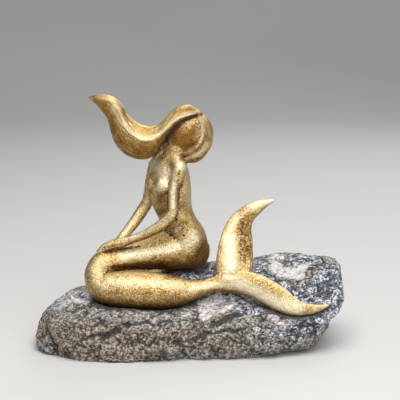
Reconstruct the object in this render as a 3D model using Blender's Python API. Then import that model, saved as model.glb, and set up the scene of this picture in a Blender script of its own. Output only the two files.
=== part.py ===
"""Seated mermaid figurine: one gilded casting bedded on a rough stone.

Metres, +Z up. The origin is on the floor under the middle of the stone.
X runs along the stone, and -Y is the side that the figure shows to the room.
"""
import math

import bmesh
import bpy
import numpy as np
from mathutils import Vector
from mathutils.bvhtree import BVHTree

MM = 0.001

# The stone
ROCK_LENGTH = 314 * MM
ROCK_DEPTH = 124 * MM
SEAT_HEIGHT = 45 * MM        # floor to the lowest point of the figure
CREST_RISE = 39 * MM         # right crest of the stone above the seat height
FACET_DEPTH = 3.0 * MM
FACETS = 70
FOOT_CUT = 1.8 * MM          # ground off the underside so that the stone stands flat
LUMP_HEIGHT = 3.5 * MM
LUMP_SIZE = 24 * MM
CHIP_HEIGHT = 2.2 * MM
CHIP_SIZE = 11 * MM
GRIT_HEIGHT = 1.1 * MM
GRIT_SIZE = 6.5 * MM
LEDGE_HEIGHT = 1.3 * MM      # level layers that the stone breaks into
LEDGE_SIZE = (34 * MM, 26 * MM, 9 * MM)
LEDGE_DIP = 0.15
LUMP_SEED, CHIP_SEED, GRIT_SEED, LEDGE_SEED = 3, 8, 23, 21
END_LEAN = 0.24              # the right end leans out this much for each unit of height
END_LEAN_FROM, END_LEAN_FULL = 110 * MM, 150 * MM
END_LEAN_PIVOT, END_LEAN_LOW = 54 * MM, 22 * MM
BED_REACH = 2.5 * MM         # how far beside a point of the stone the bed is felt for
FLUKE_AIR = 3.2 * MM         # open gap under the fork of the fluke, where the tail spans the stone
FLUKE_AIR_REACH = 3.5 * MM
FLUKE_AIR_FROM, FLUKE_AIR_TO, FLUKE_AIR_EASE = -4 * MM, 82 * MM, 16 * MM
ROCK_SIDES = 84
ROCK_VOXEL = 2.0 * MM
ROCK_SMOOTH_TURNS = 1
ROCK_TRIANGLES = 5700

# The fit between the casting and the stone
BED_GAP = 0.4 * MM
BED_EASE = 0.3 * MM          # the open bed lies this much lower still
PEG_RADIUS = 4 * MM
PEG_DEPTH = 12 * MM
PEG_UNDER_KNEE = (-52 * MM, -27 * MM, 0 * MM)     # x, y and the bed there above the seat
PEG_UNDER_HIPS = (-6 * MM, 11 * MM, 31 * MM)

# How finely the casting is resolved
VOXEL = 1.15 * MM
SMOOTH_TURNS = 8
FIGURE_TRIANGLES = 6100

# Directions: the viewed side, and the way the chest faces with its shoulder line
FRONT = (0.0, -1.0, 0.0)
CHEST = (-0.81, -0.59, 0.0)
SHOULDER_LINE = (0.59, -0.81, 0.0)

# Stations of each limb in millimetres: x, y, height above the seat, half width, half depth
TORSO = [
    (-16, 2, 156, 9, 8),
    (-18, 1, 147, 19, 12),
    (-19.5, 1, 138, 24, 16),
    (-20, 1, 127, 25, 18.5),
    (-19.5, 1, 117, 25, 19),
    (-18.5, 1, 107, 23.5, 19),
    (-16.5, 2, 98, 21, 18),
    (-14, 3, 90, 20.5, 16.5),
    (-10, 6, 79, 22.5, 17),
    (-6, 9, 67, 25, 20.5),
    (-4.5, 11, 56, 25.5, 22.5),
]
NECK = [(-19, 1, 146, 15, 10), (-16, 0, 155, 13, 10), (-12, -1, 163, 13, 10), (-7, -2, 171, 12, 10)]
NAPE = [(-31, 4, 137, 8.5, 9), (-28, 4, 149, 8.5, 8), (-21, 3, 158, 8.5, 8), (-14, 1, 168, 9, 8), (-10, 0, 178, 9, 8)]
SHOULDERS = [(-35, 20, 137, 7, 7), (-19, 1, 145, 9, 9), (-9, -19, 142, 7.5, 7.5)]
THIGH = [
    (2, 11, 50, 19, 22),
    (-20, 9, 54, 23, 24),
    (-40, 6, 51, 18, 21.5),
    (-60, 2, 48, 14.5, 18.5),
    (-78, -4, 45, 12.5, 16),
    (-88, -9, 40, 13, 15),
    (-91.5, -14, 30.5, 14, 15),
    (-86, -20, 21.5, 15.5, 16),
    (-76, -24, 20, 17.5, 17),
    (-62, -26, 19.5, 19, 17.5),
    (-43, -27, 19, 19, 17),
    (-25, -27, 18, 18, 16),
    (-13, -27, 18, 15.5, 13.5),
    (-2, -26, 18.5, 12, 10.5),
    (10, -25, 20.5, 8.5, 8),
    (19, -25, 23, 8, 7),
    (28, -25, 26, 9, 6.5),
    (42, -25, 29, 13, 6),
]
WEB = [(-82, -8, 33, 6, 7), (-60, 0, 31, 6, 8), (-40, 3, 31, 5, 7), (-20, 6, 33, 4, 6)]
FLUKE_UP = [
    (41, -26, 22, 11, 5),
    (43.5, -24, 35, 17.5, 6),
    (45, -20, 51, 18.3, 5.5),
    (46.5, -16, 65, 16.8, 5),
    (49.5, -11, 80, 13.5, 4.5),
    (57.5, -7, 91.5, 9.5, 3.6),
    (69.5, -4, 99.5, 6.3, 2.8),
    (84, -2, 105, 1.3, 1.1),
]
FLUKE_DOWN = [
    (33, -25, 29, 8, 5),
    (45, -26, 28, 11.8, 5.5),
    (57, -27, 26.3, 12.3, 5),
    (72, -30, 21.3, 12.7, 4.6),
    (87.5, -34, 12.8, 12.6, 4.2),
    (99, -37, 6.3, 10.4, 3.6),
    (111, -38, 3, 7.4, 2.9),
    (125, -37, 3.2, 4.7, 2.2),
    (138, -35, 6.5, 1.3, 1.1),
]
NEAR_ARM = [
    (-9, -20, 142, 7.5, 7),
    (-12, -22, 131, 6, 6),
    (-15, -23, 120, 5, 5.5),
    (-16, -24, 108, 4.9, 5.5),
    (-17, -25, 96, 5.6, 5.6),
    (-28, -24, 84.5, 5.8, 5.4),
    (-42, -21, 75.5, 4.8, 4.6),
    (-56, -17, 69, 4.3, 4),
    (-67, -14.5, 65, 5.4, 4.5),
    (-77, -13.5, 61.5, 5.6, 4.4),
    (-85, -13, 58, 4.8, 3.8),
    (-90.5, -13, 55, 3, 2.6),
]
FAR_ARM = [
    (-34, 20, 136, 8, 7.5),
    (-38, 21, 122, 7, 7),
    (-40.5, 21, 109, 6.3, 6.2),
    (-43, 20, 99, 6.1, 6),
    (-48.5, 18, 90, 6.1, 6),
    (-56, 13, 79.5, 5.8, 5.5),
    (-64, 5, 70, 5.2, 5),
    (-71, -3, 62.5, 5.0, 4.8),
    (-79, -9, 57.5, 4.4, 4.2),
    (-86, -14, 54, 2.8, 2.6),
]
HAIR_ROLL = [
    (9, -5, 192.5, 3, 4.5),
    (14, -5, 185.5, 5, 7),
    (17, -2, 176, 6.6, 9),
    (15.5, 0, 167, 8, 10),
    (12, 1, 159, 8.5, 10),
    (4, 1, 151, 8.6, 9),
    (-5, 3, 149, 6.5, 7),
]
BROW_SEAM = [(12.5, -7, 188, 2.4, 4), (14, -7, 180, 3, 5), (11.5, -6, 168, 3.6, 6), (5, -6, 159, 4, 6), (-4, -5, 155, 4, 6)]
# The wave of hair spans from a top edge to a bottom one: x and height of the top edge, x and
# height of the bottom one, y, half depth, and where its front ridge runs, -1 low to +1 high
HAIR_WAVE = [
    (-97.1, 210.7, -97.1, 208.8, -15, 1, 0.23),
    (-90.6, 212.4, -93.9, 205.5, -15, 3, 0.34),
    (-84.1, 212.9, -88.8, 200.9, -14.5, 4.6, 0.44),
    (-77.2, 212.0, -83.8, 194.7, -14, 6, 0.59),
    (-71.1, 208.9, -79.7, 187.7, -13.5, 7.2, 0.66),
    (-65.1, 202.7, -78.0, 180.5, -13, 8.2, 0.64),
    (-60.1, 193.9, -76.4, 174.1, -12.5, 9, 0.57),
    (-54.0, 186.9, -73.4, 165.1, -12, 9.8, 0.43),
    (-47.3, 182.8, -67.3, 156.3, -11, 10.6, 0.34),
    (-40.8, 181.0, -57.6, 149.7, -10, 11.2, 0.29),
    (-34.7, 181.2, -45.1, 147.5, -9.5, 11.5, 0.27),
    (-29.0, 183.9, -35.7, 150.8, -9.5, 11.5, 0.29),
    (-23.0, 190.0, -25.6, 164.7, -9.5, 11, 0.06),
    (-16.1, 196.9, -17.1, 175.5, -9, 10.5, -0.11),
    (-8.8, 201.3, -9.7, 182.7, -8.5, 10, -0.22),
    (-1.5, 202.2, -2.0, 187.3, -7.5, 8.5, -0.33),
    (5.3, 199.5, 5.1, 189.9, -6.5, 6.5, -0.33),
    (11.3, 194.9, 10.7, 191.7, -5.5, 3.5, 0.04),
]

# Round forms: centre above the seat, then the radii along the chest, the shoulders and up
FACE_CENTRE = (-3, -2, 174)
FACE_LENGTH = 22 * MM
FACE_WIDTH = 18 * MM
FACE_DEPTH = 13 * MM
HEAD_CENTRE = (-3.5, 7, 172)
HEAD_RADII = (22, 13, 24)
CHEST_CENTRE = (-20 * MM, 1 * MM)
BREAST_RADII = (8.5, 9, 9.5)
BREAST_HEIGHT = 122 * MM
BREAST_REACH = 13 * MM
BREAST_SPREAD = 9 * MM

# Stations of the stone in millimetres: x, front, back, underside, front edge, middle, back edge
STONE = [
    (-158, -5, 14, 10, 15, 17, 15),
    (-151, -22, 32, 4, 23, 26, 22),
    (-142, -35, 44, 1, 34, 38, 33),
    (-130, -46, 50, 0, 41, 46, 41),
    (-112, -56, 56, 0, 45, 52, 47),
    (-80, -61, 60, 0, 47, 60, 55),
    (-40, -61, 62, 0, 46, 73, 68),
    (0, -57, 62, 0, 45, 77, 72),
    (40, -55, 62, 0, 47, 74, 76),
    (80, -53, 62, 1, 45, 70, 83),
    (110, -47, 60, 5, 43, 70, 84),
    (130, -43, 57, 7, 47, 71, 84),
    (146, -38, 53, 13, 52, 72, 87),
    (156, -33, 52, 24, 58, 74, 90),
    (162, -20, 50, 42, 66, 78, 91),
]
# Clefts between the lumps of its front: depth and width in millimetres, then points of a
# line, each x and the height at which it is seen from 12 degrees above
SEEN_FROM = math.radians(12)
CLEFTS = [
    (4, 7, [(30, 25), (42, 32), (54, 38), (68, 40)]),
    (2, 5, [(7, 10), (21, 16), (36, 19), (51, 19)]),
    (1.8, 5, [(3, 28), (14, 34), (27, 39), (40, 47)]),
    (2.5, 5, [(98, -2), (103, 5), (107, 14), (108, 22)]),
    (2.5, 5, [(127, 13), (123, 21), (114, 26)]),
    (2.2, 5, [(99, 57), (108, 60), (117, 66), (132, 70)]),
    (1.8, 5, [(-135, 39), (-125, 48), (-111, 51), (-96, 45)]),
    (2.4, 6, [(-120, 38), (-106, 39), (-93, 34), (-83, 28)]),
    (2, 5, [(-99, 12), (-90, 15), (-79, 14), (-67, 19)]),
    (2, 6, [(-143, 23), (-138, 13), (-132, 3)]),
    (2, 5, [(-59, 24), (-44, 28), (-30, 25), (-17, 29)]),
    (2, 5, [(-38, 6), (-21, 11), (-5, 8)]),
]


def through(rows, steps):
    """A smooth curve through every row, all columns alike, with so many steps a span."""
    rows = np.array(rows, float)
    first = 2 * rows[0] - rows[1]
    last = 2 * rows[-1] - rows[-2]
    points = np.vstack([first, rows, last])
    a, b, c, d = points[:-3], points[1:-2], points[2:-1], points[3:]
    t = (np.arange(steps) / steps)[None, :, None]
    a, b, c, d = a[:, None], b[:, None], c[:, None], d[:, None]
    bend = (2 * a - 5 * b + 4 * c - d) * t**2 + (3 * b - a - 3 * c + d) * t**3
    curve = 0.5 * (2 * b + (c - a) * t + bend)
    return np.vstack([curve.reshape(-1, rows.shape[1]), rows[-1:]])


def unit(vectors):
    """Vectors scaled to length one."""
    return vectors / np.maximum(np.linalg.norm(vectors, axis=-1, keepdims=True), 1e-12)


def oval(ring, sides):
    """Unit section points: across, then towards the depth direction."""
    turn = np.linspace(0, 2 * math.pi, sides, endpoint=False)
    return np.tile(np.stack([np.cos(turn), np.sin(turn)], 1), (len(ring), 1, 1))


def around(corners, sides):
    """Closed smooth curve through a section's corners, the same on every ring."""
    count = corners.shape[1]
    place = np.arange(sides) * count / sides
    index = place.astype(int)
    t = (place - index)[None, :, None]
    a, b, c, d = (corners[:, (index + k) % count] for k in (-1, 0, 1, 2))
    bend = (2 * a - 5 * b + 4 * c - d) * t**2 + (3 * b - a - 3 * c + d) * t**3
    return 0.5 * (2 * b + (c - a) * t + bend)


def ribbon(rows, depth, steps=6, sides=60):
    """A closed loft between a top and a bottom edge, with a front ridge and a broad side below it."""
    ring = through(rows, steps)
    top = np.stack([ring[:, 0], ring[:, 4], ring[:, 1]], 1)
    bottom = np.stack([ring[:, 2], ring[:, 4], ring[:, 3]], 1)
    middle = (top + bottom) / 2 * MM + np.array([0, 0, SEAT_HEIGHT])
    half = (top - bottom) / 2 * MM
    r = ring[:, 6:7]
    one = np.ones_like(r)
    across = np.hstack([
        one, 0.84 * one, r + 0.45 * (1 - r), r + 0.14 * (1 - r), r, r - 0.14 * (1 + r),
        r - 0.55 * (1 + r), -one, -0.6 * one, 0.5 * one,
    ])
    deep = np.hstack([one * k for k in (-0.1, 0.32, 0.66, 0.93, 1, 0.95, 0.62, -0.05, -0.7, -0.78)])
    shape = around(np.stack([across, deep], 2), sides)
    front = np.array(depth) * ring[:, 5:6] * MM
    points = middle[:, None] + half[:, None] * shape[:, :, :1] + front[:, None] * shape[:, :, 1:]
    angles = np.radians([35, 65, 82])[:, None, None]
    out = unit(np.stack([middle[0] - middle[1], middle[-1] - middle[-2]])) * MM
    near = middle[0] + (points[0] - middle[0]) * np.cos(angles) + out[0] * np.sin(angles)
    far = middle[-1] + (points[-1] - middle[-1]) * np.cos(angles) + 2 * out[1] * np.sin(angles)
    return skin(np.vstack([near[::-1], points, far]))


def limb(rows, depth, section=oval, steps=6, sides=28, soften=2):
    """A closed loft along a smooth path, rounded over at both ends."""
    ring = through(rows, steps)
    centre = ring[:, :3] * MM + np.array([0, 0, SEAT_HEIGHT])
    size = ring[:, 3:5] * MM
    along = np.gradient(centre, axis=0)
    for _ in range(soften):
        along[1:-1] = (along[:-2] + 2 * along[1:-1] + along[2:]) / 4
    along = unit(along)
    depth = np.array(depth, float)
    deep = unit(depth - along * (along @ depth)[:, None])
    across = unit(np.cross(along, deep))
    shape = section(ring, sides)
    points = centre[:, None]
    points = points + across[:, None] * (shape[:, :, :1] * size[:, None, :1])
    points = points + deep[:, None] * (shape[:, :, 1:] * size[:, None, 1:])
    angles = np.radians([30, 60, 80])
    caps = []
    for end, way in ((0, -1), (-1, 1)):
        reach = size[end].min()
        rest = points[end] - centre[end]
        caps.append([centre[end] + rest * math.cos(q) + along[end] * way * reach * math.sin(q) for q in angles])
    points = np.vstack([np.array(caps[0][::-1]), points, np.array(caps[1])])
    return skin(points)


def skin(points):
    """Vertices and faces of a tube of rings, closed by a fan at each end."""
    rings, sides = points.shape[:2]
    i, j = np.meshgrid(np.arange(rings - 1), np.arange(sides), indexing="ij")
    k = (j + 1) % sides
    quads = np.stack([i * sides + j, i * sides + k, (i + 1) * sides + k, (i + 1) * sides + j], 2)
    faces = quads.reshape(-1, 4).tolist()
    start, end = rings * sides, rings * sides + 1
    last = (rings - 1) * sides
    faces += [[start, (s + 1) % sides, s] for s in range(sides)]
    faces += [[end, last + s, last + (s + 1) % sides] for s in range(sides)]
    ends = [points[0].mean(0), points[-1].mean(0)]
    return np.vstack([points.reshape(-1, 3), ends]), faces


def egg(centre, axes, radii, rings=16, sides=24):
    """A closed ball stretched along three directions."""
    up = np.linspace(0.06, math.pi - 0.06, rings)
    turn = np.linspace(0, 2 * math.pi, sides, endpoint=False)
    up, turn = np.meshgrid(up, turn, indexing="ij")
    ball = np.stack([np.sin(up) * np.cos(turn), np.sin(up) * np.sin(turn), np.cos(up)], 2)
    return skin(np.array(centre) + (ball * np.array(radii)) @ unit(np.array(axes, float)))


def body(name, shells):
    """One object holding the given shells, every face turned outwards."""
    mesh = bpy.data.meshes.new(name)
    points, faces, start = [], [], 0
    for shell_points, shell_faces in shells:
        points.append(shell_points)
        faces += [[start + v for v in face] for face in shell_faces]
        start += len(shell_points)
    mesh.from_pydata(np.vstack(points).tolist(), [], faces)
    work = bmesh.new()
    work.from_mesh(mesh)
    bmesh.ops.recalc_face_normals(work, faces=work.faces)
    work.to_mesh(mesh)
    work.free()
    thing = bpy.data.objects.new(name, mesh)
    bpy.context.collection.objects.link(thing)
    return thing


def settle(thing):
    """Replace an object's mesh by what its modifiers make of it."""
    bpy.context.view_layer.update()
    seen = thing.evaluated_get(bpy.context.evaluated_depsgraph_get())
    mesh = bpy.data.meshes.new_from_object(seen)
    thing.modifiers.clear()
    old = thing.data
    thing.data = mesh
    bpy.data.meshes.remove(old)
    mesh.name = thing.name
    return mesh


def fuse(thing, voxel, smooth_turns, triangles):
    """Grow overlapping shells together into one smooth skin of the wanted fineness."""
    remesh = thing.modifiers.new("skin", "REMESH")
    remesh.mode = "VOXEL"
    remesh.voxel_size = voxel
    smooth = thing.modifiers.new("soften", "SMOOTH")
    smooth.factor = 0.5
    smooth.iterations = smooth_turns
    mesh = settle(thing)
    mesh.calc_loop_triangles()
    thin = thing.modifiers.new("thin", "DECIMATE")
    thin.ratio = triangles / len(mesh.loop_triangles)
    settle(thing)


def combine(thing, tool, operation):
    """Add a tool body to an object or cut it away, then drop the tool."""
    change = thing.modifiers.new("combine", "BOOLEAN")
    change.operation = operation
    change.solver = "EXACT"
    change.object = tool
    settle(thing)
    bpy.data.objects.remove(tool)


def rod(name, x, y, low, high, radius, sides=16):
    """An upright round bar."""
    turn = np.linspace(0, 2 * math.pi, sides, endpoint=False)
    ring = np.stack([x + radius * np.cos(turn), y + radius * np.sin(turn), 0 * turn], 1)
    return body(name, [skin(np.stack([ring + [0, 0, low], ring + [0, 0, high]]))])


def lattice(cells, seed):
    """A repeatable number between -1 and 1 for every whole lattice cell."""
    mixed = cells[..., 0] * 73856093 ^ cells[..., 1] * 19349663 ^ cells[..., 2] * 83492791
    mixed = (mixed + seed * 2654435761) & 0xFFFFFFFF
    mixed = ((mixed ^ (mixed >> 15)) * 2246822519) & 0xFFFFFFFF
    mixed = ((mixed ^ (mixed >> 13)) * 3266489917) & 0xFFFFFFFF
    return ((mixed ^ (mixed >> 16)) & 0xFFFF) / 32767.5 - 1


def lumps(points, size, seed):
    """Smooth value noise of about the given size, between -1 and 1."""
    place = points / size
    base = np.floor(place).astype(np.int64)
    part = place - base
    part = part * part * (3 - 2 * part)
    total = np.zeros(points.shape[:-1])
    for corner in np.ndindex(2, 2, 2):
        weight = np.prod(np.where(np.array(corner) == 1, part, 1 - part), axis=-1)
        total = total + weight * lattice(base + np.array(corner), seed)
    return total


def stone_section(row, sides):
    """Closed outline of the stone at one station: depth across, height up."""
    _, front, back, low, edge, middle, rear = row
    deep = back - front
    tuck = min(1.2 * low, 0.18 * deep)
    corners = np.array([
        (front + 0.24 * deep + tuck, low),
        (front + 0.05 * deep + tuck, low + 0.02 * (edge - low)),
        (front, low + 0.30 * (edge - low)),
        (front + 0.01 * deep, low + 0.70 * (edge - low)),
        (front + 0.08 * deep, low + 0.97 * (edge - low)),
        (front + 0.28 * deep, edge + 0.20 * (middle - edge)),
        (front + 0.55 * deep, middle),
        (back - 0.20 * deep, 0.4 * middle + 0.6 * rear),
        (back - 0.04 * deep, low + 0.90 * (rear - low)),
        (back, low + 0.50 * (rear - low)),
        (back - 0.08 * deep, low + 0.06 * (rear - low)),
        (back - 0.32 * deep, low),
    ])
    return around(corners[None], sides)[0]


def cleft_depth(points):
    """How deep the drawn clefts go at each point of the stone's front."""
    seen = np.stack([points[:, 0], points[:, 2] * math.cos(SEEN_FROM) + points[:, 1] * math.sin(SEEN_FROM)], 1)
    front = np.clip(-points[:, 1] / (20 * MM), 0, 1)
    total = np.zeros(len(points))
    for depth, width, path in CLEFTS:
        path = np.array(path, float) * MM
        for start, end in zip(path[:-1], path[1:]):
            step = end - start
            t = np.clip((seen - start) @ step / (step @ step), 0, 1)
            far = np.linalg.norm(seen - start - t[:, None] * step, axis=1)
            total = np.maximum(total, depth * MM * np.clip(1 - far / (width * MM), 0, 1))
    return total * front


def make_figure():
    """The casting: every limb lofted, then grown together."""
    axes = (CHEST, SHOULDER_LINE, (0, 0, 1))
    lift = np.array([0, 0, SEAT_HEIGHT])
    chest = np.array([*CHEST_CENTRE, BREAST_HEIGHT]) + lift + np.array(CHEST) * BREAST_REACH
    side = np.array(SHOULDER_LINE) * BREAST_SPREAD
    tilt = unit(np.array([0.62, 0.0, 0.78]))
    face_axes = (np.cross(tilt, FRONT), FRONT, tilt)
    shells = [
        limb(TORSO, CHEST),
        limb(NECK, CHEST),
        limb(NAPE, FRONT),
        limb(SHOULDERS, (0, 0, 1)),
        limb(THIGH, FRONT),
        limb(WEB, FRONT),
        limb(FLUKE_UP, FRONT),
        limb(FLUKE_DOWN, FRONT),
        limb(NEAR_ARM, FRONT),
        limb(FAR_ARM, FRONT),
        limb(HAIR_ROLL, FRONT),
        limb(BROW_SEAM, FRONT),
        ribbon(HAIR_WAVE, FRONT),
        egg(chest + side, axes, np.array(BREAST_RADII) * MM),
        egg(chest - side, axes, np.array(BREAST_RADII) * MM),
        egg(np.array(FACE_CENTRE) * MM + lift, face_axes, (FACE_WIDTH, FACE_DEPTH, FACE_LENGTH)),
        egg(np.array(HEAD_CENTRE) * MM + lift, ((1, 0, 0), (0, 1, 0), (0, 0, 1)), np.array(HEAD_RADII) * MM),
    ]
    figure = body("mermaid_figure", shells)
    fuse(figure, VOXEL, SMOOTH_TURNS, FIGURE_TRIANGLES)
    return figure


def make_rock(figure):
    """The stone: lofted, chipped flat, roughened, cut level below and let down under the casting."""
    rows = through(STONE, 8)
    steps = np.linalg.norm(np.diff(rows, axis=0) * (1, 0.4, 0.4, 0.4, 0.3, 0.3, 0.3), axis=1)
    span = np.append(0, np.cumsum(steps))
    wanted = np.linspace(0, span[-1], 2 * ROCK_SIDES)
    rows = np.stack([np.interp(wanted, span, column) for column in rows.T], 1)
    sections = np.array([stone_section(row, ROCK_SIDES) for row in rows])
    along = np.repeat(rows[:, :1, None], ROCK_SIDES, 1)
    points, faces = skin(np.concatenate([along, sections], 2) * MM)
    core = np.clip(points * (1, 0, 0), -ROCK_LENGTH / 3, ROCK_LENGTH / 3) + (0, 0, SEAT_HEIGHT * 0.8)
    turn = np.arange(FACETS) * 2.399963
    rise = np.linspace(-0.6, 0.95, FACETS)
    flat = np.sqrt(1 - rise**2)
    for way in np.stack([flat * np.cos(turn), flat * np.sin(turn), rise], 1):
        limit = (points @ way).max() - FACET_DEPTH - core @ way
        reach = np.maximum((points - core) @ way, 1e-6)
        points = core + (points - core) * np.clip(limit / reach, 0, 1)[:, None]
    lean = END_LEAN * np.clip((points[:, 0] - END_LEAN_FROM) / (END_LEAN_FULL - END_LEAN_FROM), 0, 1)
    points[:, 0] += lean * np.maximum(points[:, 2] - END_LEAN_PIVOT, -END_LEAN_LOW)
    bump = LUMP_HEIGHT * lumps(points, LUMP_SIZE, LUMP_SEED) + CHIP_HEIGHT * lumps(points, CHIP_SIZE, CHIP_SEED)
    dipped = points + points[:, :1] * (0, 0, LEDGE_DIP)
    bump = bump + LEDGE_HEIGHT * lumps(dipped, np.array(LEDGE_SIZE), LEDGE_SEED)
    bump = bump + GRIT_HEIGHT * lumps(points, GRIT_SIZE, GRIT_SEED) - cleft_depth(points)
    points = points + unit(points - core) * bump[:, None]
    rock = body("rock_base", [(points, faces)])
    fuse(rock, ROCK_VOXEL, ROCK_SMOOTH_TURNS, ROCK_TRIANGLES)
    level_foot(rock)
    points = np.array([vertex.co for vertex in rock.data.vertices])
    low, high = points.min(0), points.max(0)
    size = np.array([ROCK_LENGTH, ROCK_DEPTH, SEAT_HEIGHT + CREST_RISE])
    points = (points - (low + high) / 2 * (1, 1, 0) - low * (0, 0, 1)) * size / (high - low)
    underside = BVHTree.FromObject(figure, bpy.context.evaluated_depsgraph_get())
    turns = [(0, 0)] + [(math.cos(q), math.sin(q)) for q in np.arange(12) * math.pi / 6]
    for place in points:
        ends = min(place[0] - FLUKE_AIR_FROM, FLUKE_AIR_TO - place[0]) / FLUKE_AIR_EASE
        air = min(max(ends, 0), 1)
        reach = BED_REACH + FLUKE_AIR_REACH * air
        for dx, dy in turns:
            hit = underside.ray_cast(Vector((place[0] + reach * dx, place[1] + reach * dy, 0)), Vector((0, 0, 1)))[0]
            if hit is not None and place[2] > hit.z - BED_GAP - BED_EASE - FLUKE_AIR * air:
                place[2] = hit.z - BED_GAP - BED_EASE - FLUKE_AIR * air
    rock.data.vertices.foreach_set("co", points.ravel())
    return rock


def level_foot(rock):
    """Cut the stone's underside off level and close it with one flat face."""
    work = bmesh.new()
    work.from_mesh(rock.data)
    everything = list(work.verts) + list(work.edges) + list(work.faces)
    cut = bmesh.ops.bisect_plane(
        work, geom=everything, plane_co=(0, 0, FOOT_CUT), plane_no=(0, 0, -1), clear_outer=True
    )
    rim = [item for item in cut["geom_cut"] if isinstance(item, bmesh.types.BMEdge)]
    bmesh.ops.edgeloop_fill(work, edges=rim)
    bmesh.ops.recalc_face_normals(work, faces=work.faces)
    work.to_mesh(rock.data)
    work.free()


def bed_in(rock, figure):
    """Cut the bed and the peg sockets, a gap larger than the casting, and drop loose crumbs."""
    for gap in (BED_GAP, BED_GAP / 2):
        tool = bpy.data.objects.new("tool", figure.data.copy())
        bpy.context.collection.objects.link(tool)
        for vertex in tool.data.vertices:
            vertex.co += vertex.normal * gap
        combine(rock, tool, "DIFFERENCE")
    work = bmesh.new()
    work.from_mesh(rock.data)
    work.faces.ensure_lookup_table()
    best, seen = set(), set()
    for face in work.faces:
        if face in seen:
            continue
        island, queue = {face}, [face]
        while queue:
            for edge in queue.pop().edges:
                for other in edge.link_faces:
                    if other not in island:
                        island.add(other)
                        queue.append(other)
        seen |= island
        best = max(best, island, key=len)
    bmesh.ops.delete(work, geom=[f for f in work.faces if f not in best], context="FACES")
    work.to_mesh(rock.data)
    work.free()


def paint(thing, colour, roughness, metallic):
    """Give an object its own plain finish and smooth shading."""
    finish = bpy.data.materials.new(thing.name + "_finish")
    finish.use_nodes = True
    shader = finish.node_tree.nodes["Principled BSDF"]
    shader.inputs["Base Color"].default_value = (*colour, 1)
    shader.inputs["Roughness"].default_value = roughness
    shader.inputs["Metallic"].default_value = metallic
    finish.diffuse_color = (*colour, 1)
    thing.data.materials.clear()
    thing.data.materials.append(finish)
    thing.data.polygons.foreach_set("use_smooth", [True] * len(thing.data.polygons))


for old in list(bpy.data.objects):
    bpy.data.objects.remove(old)

figure = make_figure()
rock = make_rock(figure)
for x, y, bed in (PEG_UNDER_KNEE, PEG_UNDER_HIPS):
    low = SEAT_HEIGHT + bed - PEG_DEPTH
    top = SEAT_HEIGHT + bed + 2 * PEG_RADIUS
    combine(figure, rod("peg", x, y, low, top, PEG_RADIUS), "UNION")
bed_in(rock, figure)
paint(figure, (0.60, 0.42, 0.16), 0.34, 1.0)
paint(rock, (0.23, 0.21, 0.20), 0.85, 0.0)
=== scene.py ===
# %% [markdown]
# # A gilded mermaid on a rough stone
#
# The real object is two pieces: one casting of a seated, faceless mermaid, covered in
# antique gold leaf, and the natural stone that it is bedded on. Both are free forms with no
# straight edge, so each is worked out as lofts and noise in numpy, grown into one skin,
# and then given its fine relief and its finish. Everything is in metres, in the frame of the
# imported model, which is loaded first.

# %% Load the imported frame
import math

import bpy
import numpy as np
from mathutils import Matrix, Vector


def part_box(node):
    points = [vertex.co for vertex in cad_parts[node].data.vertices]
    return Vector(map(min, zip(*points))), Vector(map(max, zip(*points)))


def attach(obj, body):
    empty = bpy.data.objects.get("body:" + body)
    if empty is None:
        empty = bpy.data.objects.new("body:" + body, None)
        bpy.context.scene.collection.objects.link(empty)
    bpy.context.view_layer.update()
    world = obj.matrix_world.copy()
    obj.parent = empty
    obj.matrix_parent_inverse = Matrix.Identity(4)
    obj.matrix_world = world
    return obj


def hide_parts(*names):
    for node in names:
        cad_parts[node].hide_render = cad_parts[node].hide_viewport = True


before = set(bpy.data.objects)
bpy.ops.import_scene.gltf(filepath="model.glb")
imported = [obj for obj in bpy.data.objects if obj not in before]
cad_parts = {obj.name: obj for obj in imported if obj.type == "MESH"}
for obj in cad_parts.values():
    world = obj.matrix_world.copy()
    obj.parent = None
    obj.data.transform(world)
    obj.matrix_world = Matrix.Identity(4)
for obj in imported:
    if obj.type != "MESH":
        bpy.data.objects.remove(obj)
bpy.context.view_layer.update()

# %% [markdown]
# ## The camera
#
# The photograph was taken from a little above the figure, through a long lens, as the flat
# look of the stone shows. The same view is set up here. `in_picture` says where a point
# shows in the square picture of 400 by 400, which later lets small marks, such as a crease
# or a crack, be laid onto the surface where they are seen on the real piece.

# %% Set up the camera
MM = 0.001
PICTURE = 400
ELEVATION = math.radians(12)
DISTANCE = 1150 * MM
FOCAL_LENGTH, FILM_WIDTH = 103.5, 36
AIM = np.array([10.5, 0, 150]) * MM
LOOK = np.array([0, math.cos(ELEVATION), -math.sin(ELEVATION)])
PICTURE_UP = np.array([0, math.sin(ELEVATION), math.cos(ELEVATION)])
EYE = AIM - DISTANCE * LOOK

lens = bpy.data.cameras.new("camera")
lens.sensor_width = FILM_WIDTH
lens.lens = FOCAL_LENGTH
camera = bpy.data.objects.new("camera", lens)
bpy.context.collection.objects.link(camera)
camera.location = EYE
camera.rotation_euler = (math.pi / 2 - ELEVATION, 0, 0)
bpy.context.scene.camera = camera


def in_picture(points):
    """Across and down in the picture: the sideways and upward share of the sight line, times the lens."""
    sight = points - EYE
    depth = sight @ LOOK
    scale = PICTURE * FOCAL_LENGTH / FILM_WIDTH / depth
    return np.stack([PICTURE / 2 + sight[..., 0] * scale, PICTURE / 2 - (sight @ PICTURE_UP) * scale], -1)


print("the middle of the seat shows at", in_picture(np.array([0, 0, 0.045])).round(1))

# %% [markdown]
# ## Floor and light
#
# A plain pale floor that sweeps up far behind the piece, and large soft lamps, as in a
# studio. The main lamp hangs above and a little in front, because the highlights lie on the
# tops of thigh, tail and fluke. Gilding mostly shows what it mirrors, so wide lamps and
# a pale sky matter more to it than a strong lamp.

# %% Make the floor
FLOOR_FRONT, FLOOR_HALF_WIDTH, WALL_TOP = -3.0, 5.0, 3.5
SWEEP_START, SWEEP_RADIUS = 1.6, 1.2
FLOOR_COLOUR = (0.50, 0.49, 0.475, 1)

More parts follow.
